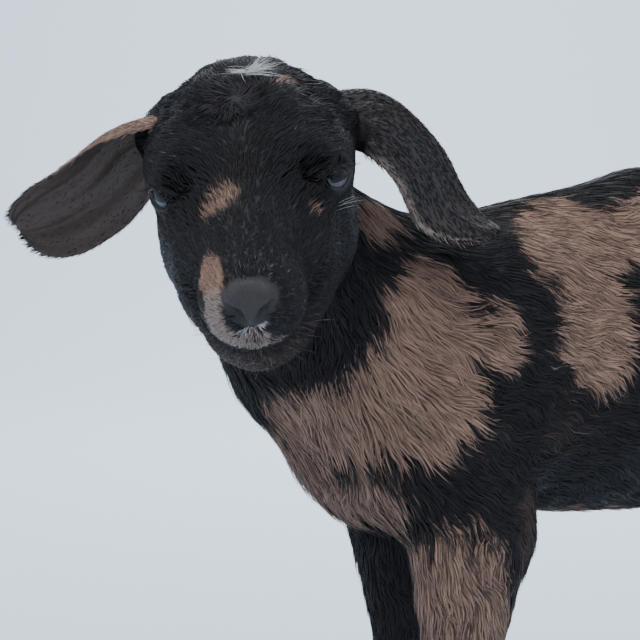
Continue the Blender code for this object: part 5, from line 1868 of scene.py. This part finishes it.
@dataclass
class LooseHairs:
    """Hairs that stand by themselves: white hairs of the crown, lashes, whiskers and bristles."""

    shape: KidShape
    coat: Coat
    white_count: int = 120
    lash_count: int = 34
    whisker_count: int = 90
    bristle_count: int = 70

    def strands(
        self, name: str, starts: Array, tips: Array, arch: Array, width: float, mark: Marking
    ) -> None:
        """Grows single hairs of one colour, each from its start to its tip, bent toward the arch."""
        count = len(starts)
        run = tips - starts
        length = np.linalg.norm(run, axis=1)
        up = unit(np.tile(arch, (count, 1)))
        roots = Roots(starts, up, np.zeros((count, 3), int), np.ones((count, 3)) / 3.0)
        habit = Habit(length, np.full(count, width), run, np.full(count, 0.2), 0.004, 0.0, 0.0005)
        habit.rises = (0.5, 0.8, 1.0)
        masks = {item.value: np.full(count, float(item is mark)) for item in Marking}
        spread = np.linspace(0.02, 0.98, count)
        self.coat.grow(name, roots, habit, masks, np.stack([spread, spread], axis=1), 3)

    def on_skull(self, local: Array, depth: float, rounds: int) -> Array:
        """Points of the head's frame drawn onto the skull and face."""
        return self.shape.drawn(from_head(local), self.shape.head[:1], (), depth, rounds)

    def grow(self) -> None:
        """Grows every bunch, all from one seeded draw."""
        rng = np.random.default_rng(17)
        self.crown(rng)
        for lids, name in zip(BOTH_LIDS, ("lashes_left", "lashes_right")):
            self.lashes(lids, name, rng)
        self.whiskers(rng)
        self.bristles(rng)
        self.cheek_whiskers()

    def crown(self, rng: np.random.Generator) -> None:
        """The white bunch: most of it lies over to the left, one hair in six to the right."""
        count = self.white_count
        right = np.arange(count) % 6 == 0
        start = np.array((0.0036, 0.016, 0.0412)) + rng.normal(size=(count, 3)) * (0.0016, 0.0016, 0.0003)
        start = self.on_skull(start, -0.0004, 3)
        reach = rng.uniform(0.45, 1.0, (count, 1)) * np.where(right, 0.75, 1.0)[:, None]
        across = np.where(right, rng.normal(-0.8, 0.12, count), rng.uniform(0.35, 1.0, count))
        behind = np.where(right, rng.normal(-0.45, 0.1, count), rng.normal(-0.12, 0.42, count))
        fan = np.stack([across, behind, rng.uniform(0.02, 0.16, count)], axis=1)
        tips = start + 0.018 * reach * (fan @ HEAD_AXES.T)
        self.strands("white_hairs", start, tips, HEAD_AXES[:, 2], 0.00013, Marking.WHITE)

    def lashes(self, lids: Lids, name: str, rng: np.random.Generator) -> None:
        """The lashes of one upper lid."""
        count = self.lash_count
        centre, along, rise, way = lids.axes()
        angle = np.linspace(0.55, 2.6, count) + rng.normal(size=count) * 0.02
        rim = np.outer(np.cos(angle) * lids.long * 1.06, along)
        rim = rim + np.outer(np.sin(angle) * lids.high * 1.06 * (1.0 - 0.25 * np.cos(angle) ** 2), rise)
        rim = centre + (EYE_RADIUS + 0.001) * unit(rim + way * 0.0085)
        tips = rim + (way + 0.55 * rise) * 0.0062 + np.outer(np.cos(angle) * 0.0028, along)
        tips = tips + rng.normal(size=tips.shape) * 0.0004
        self.strands(name, rim, tips, rise, 0.00013, Marking.BROWN)

    def whiskers(self, rng: np.random.Generator) -> None:
        """Whiskers of lips and chin."""
        count = self.whisker_count
        ring = rng.uniform(-1.0, 1.0, count)
        chin = np.stack([0.017 * ring, 0.012 * ring**2 - 0.07, np.full(count, -0.033)], axis=1)
        chin += rng.normal(size=(count, 3)) * (0.002, 0.006, 0.004)
        place = self.on_skull(chin, 0.0006, 6)
        out = unit(place - from_head((0.0, -0.05, -0.016)))
        tips = place + out * rng.uniform(0.0045, 0.01, count)[:, None]
        self.strands("whiskers", place, tips, HEAD_AXES[:, 2], 0.00009, Marking.PALE)

    def bristles(self, rng: np.random.Generator) -> None:
        """Bristles along the right of the jaw."""
        count = self.bristle_count
        along = rng.uniform(-0.075, 0.0, count)
        jaw = np.stack([np.full(count, -0.03), along, np.full(count, -0.033)], axis=1)
        jaw += rng.normal(size=(count, 3)) * (0.002, 0.002, 0.006)
        place = self.on_skull(jaw, 0.0006, 8)
        out = unit(np.array((-0.75, -0.25, -0.55))) @ HEAD_AXES.T + 0.2 * rng.normal(size=(count, 3))
        tips = place + out * rng.uniform(0.0035, 0.0065, count)[:, None]
        self.strands("bristles", place, tips, HEAD_AXES[:, 0], 0.0002, Marking.PALE)

    def cheek_whiskers(self) -> None:
        """The four white whiskers below the left eye."""
        place = [(0.035, -0.0181, -0.0031), (0.0345, -0.0185, -0.004)]
        place += [(0.0352, -0.0165, -0.0052), (0.034, -0.02, -0.005)]
        start = self.on_skull(np.array(place), 0.0003, 6)
        ways = np.array([(1.0, 0.2, -0.1), (1.0, 0.1, -0.25), (0.9, 0.3, -0.3), (1.0, 0.0, -0.4)])
        tips = start + ways @ HEAD_AXES.T * 0.0095
        self.strands("cheek_whiskers", start, tips, HEAD_AXES[:, 2], 0.00011, Marking.WHITE)


@dataclass
class Eye:
    """A wet eyeball with a level pupil."""

    side: float
    name: str
    look: float = 44.0
    rise_left: float = 18.0
    rise_right: float = 7.0

    def build(self) -> bpy.types.Object:
        """Makes the ball, its gaze and its finish."""
        centre = Vector(eye_place(self.side)[0])
        gaze_rise = self.rise_left if self.side > 0.0 else self.rise_right
        along, rise, _ = eye_axes(self.side, self.look, gaze_rise)
        shape = bmesh.new()
        bmesh.ops.create_uvsphere(shape, u_segments=64, v_segments=40, radius=EYE_RADIUS)
        mesh = bpy.data.meshes.new(self.name)
        shape.to_mesh(mesh)
        shape.free()
        mesh.transform(Matrix.Translation(centre))
        place = tuple(centre + packed_shift())
        finish = EyeFinish(f"{self.name}_wet", 0.15, 0.1, place, tuple(along), tuple(rise)).make()
        piece = finished(f"{self.name}_ball", mesh, finish)
        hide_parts(self.name)
        return piece


@dataclass
class Studio:
    """Pale floor, soft light and the camera of the photograph.

    Args:
        focal_pixels: distance from lens to picture, in the photograph's pixels.
        frame_pixels: width of the photograph.
        sensor: width of the camera's sensor in millimetres.
        azimuth: turn of the camera about the vertical.
        elevation: how far it looks down.
        place: where it stands.
        floor_size: width of the floor.
        sweep_start: how far behind the kid the floor begins to rise.
        sweep: radius of its rise.
        sky: colour of the room.
        glow: how bright the room is.
        lamps: name, place from the head, power and size of each lamp on the kid.
    """

    focal_pixels: float = 1573.0
    frame_pixels: float = 640.0
    sensor: float = 36.0
    azimuth: float = 70.0
    elevation: float = 5.0
    place: tuple = (0.671, -0.398, 0.399)
    floor_size: float = 12.0
    sweep_start: float = 2.2
    sweep: float = 2.0
    sky: tuple = (0.74, 0.83, 0.94)
    glow: float = 1.15
    lamps: tuple = (
        ("key", (0.7, -0.9, 1.9), 34.0, 1.1),
        ("fill", (1.6, 0.9, 0.9), 8.0, 1.4),
        ("rim", (-1.4, 0.8, 1.4), 16.0, 1.0),
    )

    def build(self) -> None:
        """Sets floor, world, lights and camera."""
        self.floor()
        world = bpy.data.worlds.new("pale_room")
        bpy.context.scene.world = world
        world.use_nodes = True
        back = world.node_tree.nodes["Background"]
        back.inputs["Color"].default_value = (*self.sky, 1.0)
        back.inputs["Strength"].default_value = self.glow
        shift = np.array(packed_shift())
        focus = HEAD_POINT + shift
        for name, offset, power, size in self.lamps:
            self.lamp(name, focus + np.array(offset), focus, power, size)
        behind = np.array((-1.9, 0.7, 0.0)) + shift
        above, wall = behind + np.array((0.3, 0.0, 2.2)), behind + np.array((-1.6, 0.6, 0.5))
        self.lamp("backdrop", above, wall, 60.0, 2.0)
        self.camera(shift)

    def floor(self) -> None:
        """Pale floor that sweeps up behind the kid, as seen by the camera."""
        turn = math.radians(self.azimuth)
        away = np.array((-math.sin(turn), math.cos(turn), 0.0))
        beside = np.array((math.cos(turn), math.sin(turn), 0.0))
        profile = [(-self.floor_size / 2.0, 0.0), (self.sweep_start, 0.0)]
        for angle in np.linspace(0.0, math.pi / 2.0, 25)[1:]:
            rise = self.sweep * (1.0 - math.cos(angle))
            profile.append((self.sweep_start + self.sweep * math.sin(angle), rise))
        profile.append((self.sweep_start + self.sweep, self.sweep + 1.5))
        rows = [away * reach + np.array((0.0, 0.0, high)) for reach, high in profile]
        half = beside * self.floor_size / 2.0
        points = np.array([row + side for row in rows for side in (-half, half)])
        faces = [(2 * row + 1, 2 * row, 2 * row + 2, 2 * row + 3) for row in range(len(rows) - 1)]
        mesh = new_mesh("floor", points, faces)
        mesh.shade_smooth()
        mesh.materials.append(PlainFinish("pale_floor", 0.9, 0.1, colour=(0.74, 0.83, 0.93)).make())
        linked("floor", mesh)

    @staticmethod
    def lamp(name: str, place: Array, focus: Array, power: float, size: float) -> None:
        """A soft square light that looks at a place."""
        light = bpy.data.lights.new(name, "AREA")
        light.energy = power
        light.size = size
        made = bpy.data.objects.new(name, light)
        bpy.context.scene.collection.objects.link(made)
        made.location = Vector(place)
        made.rotation_euler = Vector(focus - place).to_track_quat("-Z", "Y").to_euler()

    def camera(self, shift: Array) -> None:
        """The photograph's camera."""
        lens = bpy.data.cameras.new("camera")
        lens.sensor_width = self.sensor
        lens.sensor_fit = "HORIZONTAL"
        lens.lens = self.focal_pixels * self.sensor / self.frame_pixels
        lens.clip_start = 0.01
        made = bpy.data.objects.new("camera", lens)
        bpy.context.scene.collection.objects.link(made)
        made.location = Vector(np.array(self.place) + shift)
        turn, tilt = math.radians(self.azimuth), math.radians(self.elevation)
        made.rotation_euler = (math.radians(90.0) - tilt, 0.0, turn)
        bpy.context.scene.camera = made


def dress_horn() -> None:
    """Gives the hooves and dewclaws their horn."""
    finish = HornFinish("hoof_horn", 0.4, 0.5).make()
    for name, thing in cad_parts.items():
        if name.startswith(("hoof", "dewclaw")):
            thing.data.materials.clear()
            thing.data.materials.append(finish)


def main() -> None:
    """Builds the kid piece by piece."""
    logging.basicConfig(level=logging.INFO, format="%(message)s")
    shape = KidShape()
    markings = Markings()
    skin = Skin(shape, markings).build()
    skin.dress()
    tree = TuftTree("tufts")
    coat = Coat(tree, CoatFinish("goat_coat", roughness=0.62, gloss=0.22).make())
    HeadCoat(shape, skin, markings, coat).grow()
    for name in EARS:
        ear = Ear(name)
        mesh = ear.build()
        ear.dress(mesh)
        EarCoat(ear, mesh, coat).grow()
    BodyCoat(shape, skin, markings, coat).grow()
    LooseHairs(shape, coat).grow()
    for side, name in zip(SIDES, ("eye_left", "eye_right")):
        Eye(side, name).build()
    dress_horn()
    Studio().build()


if __name__ == "__main__":
    main()
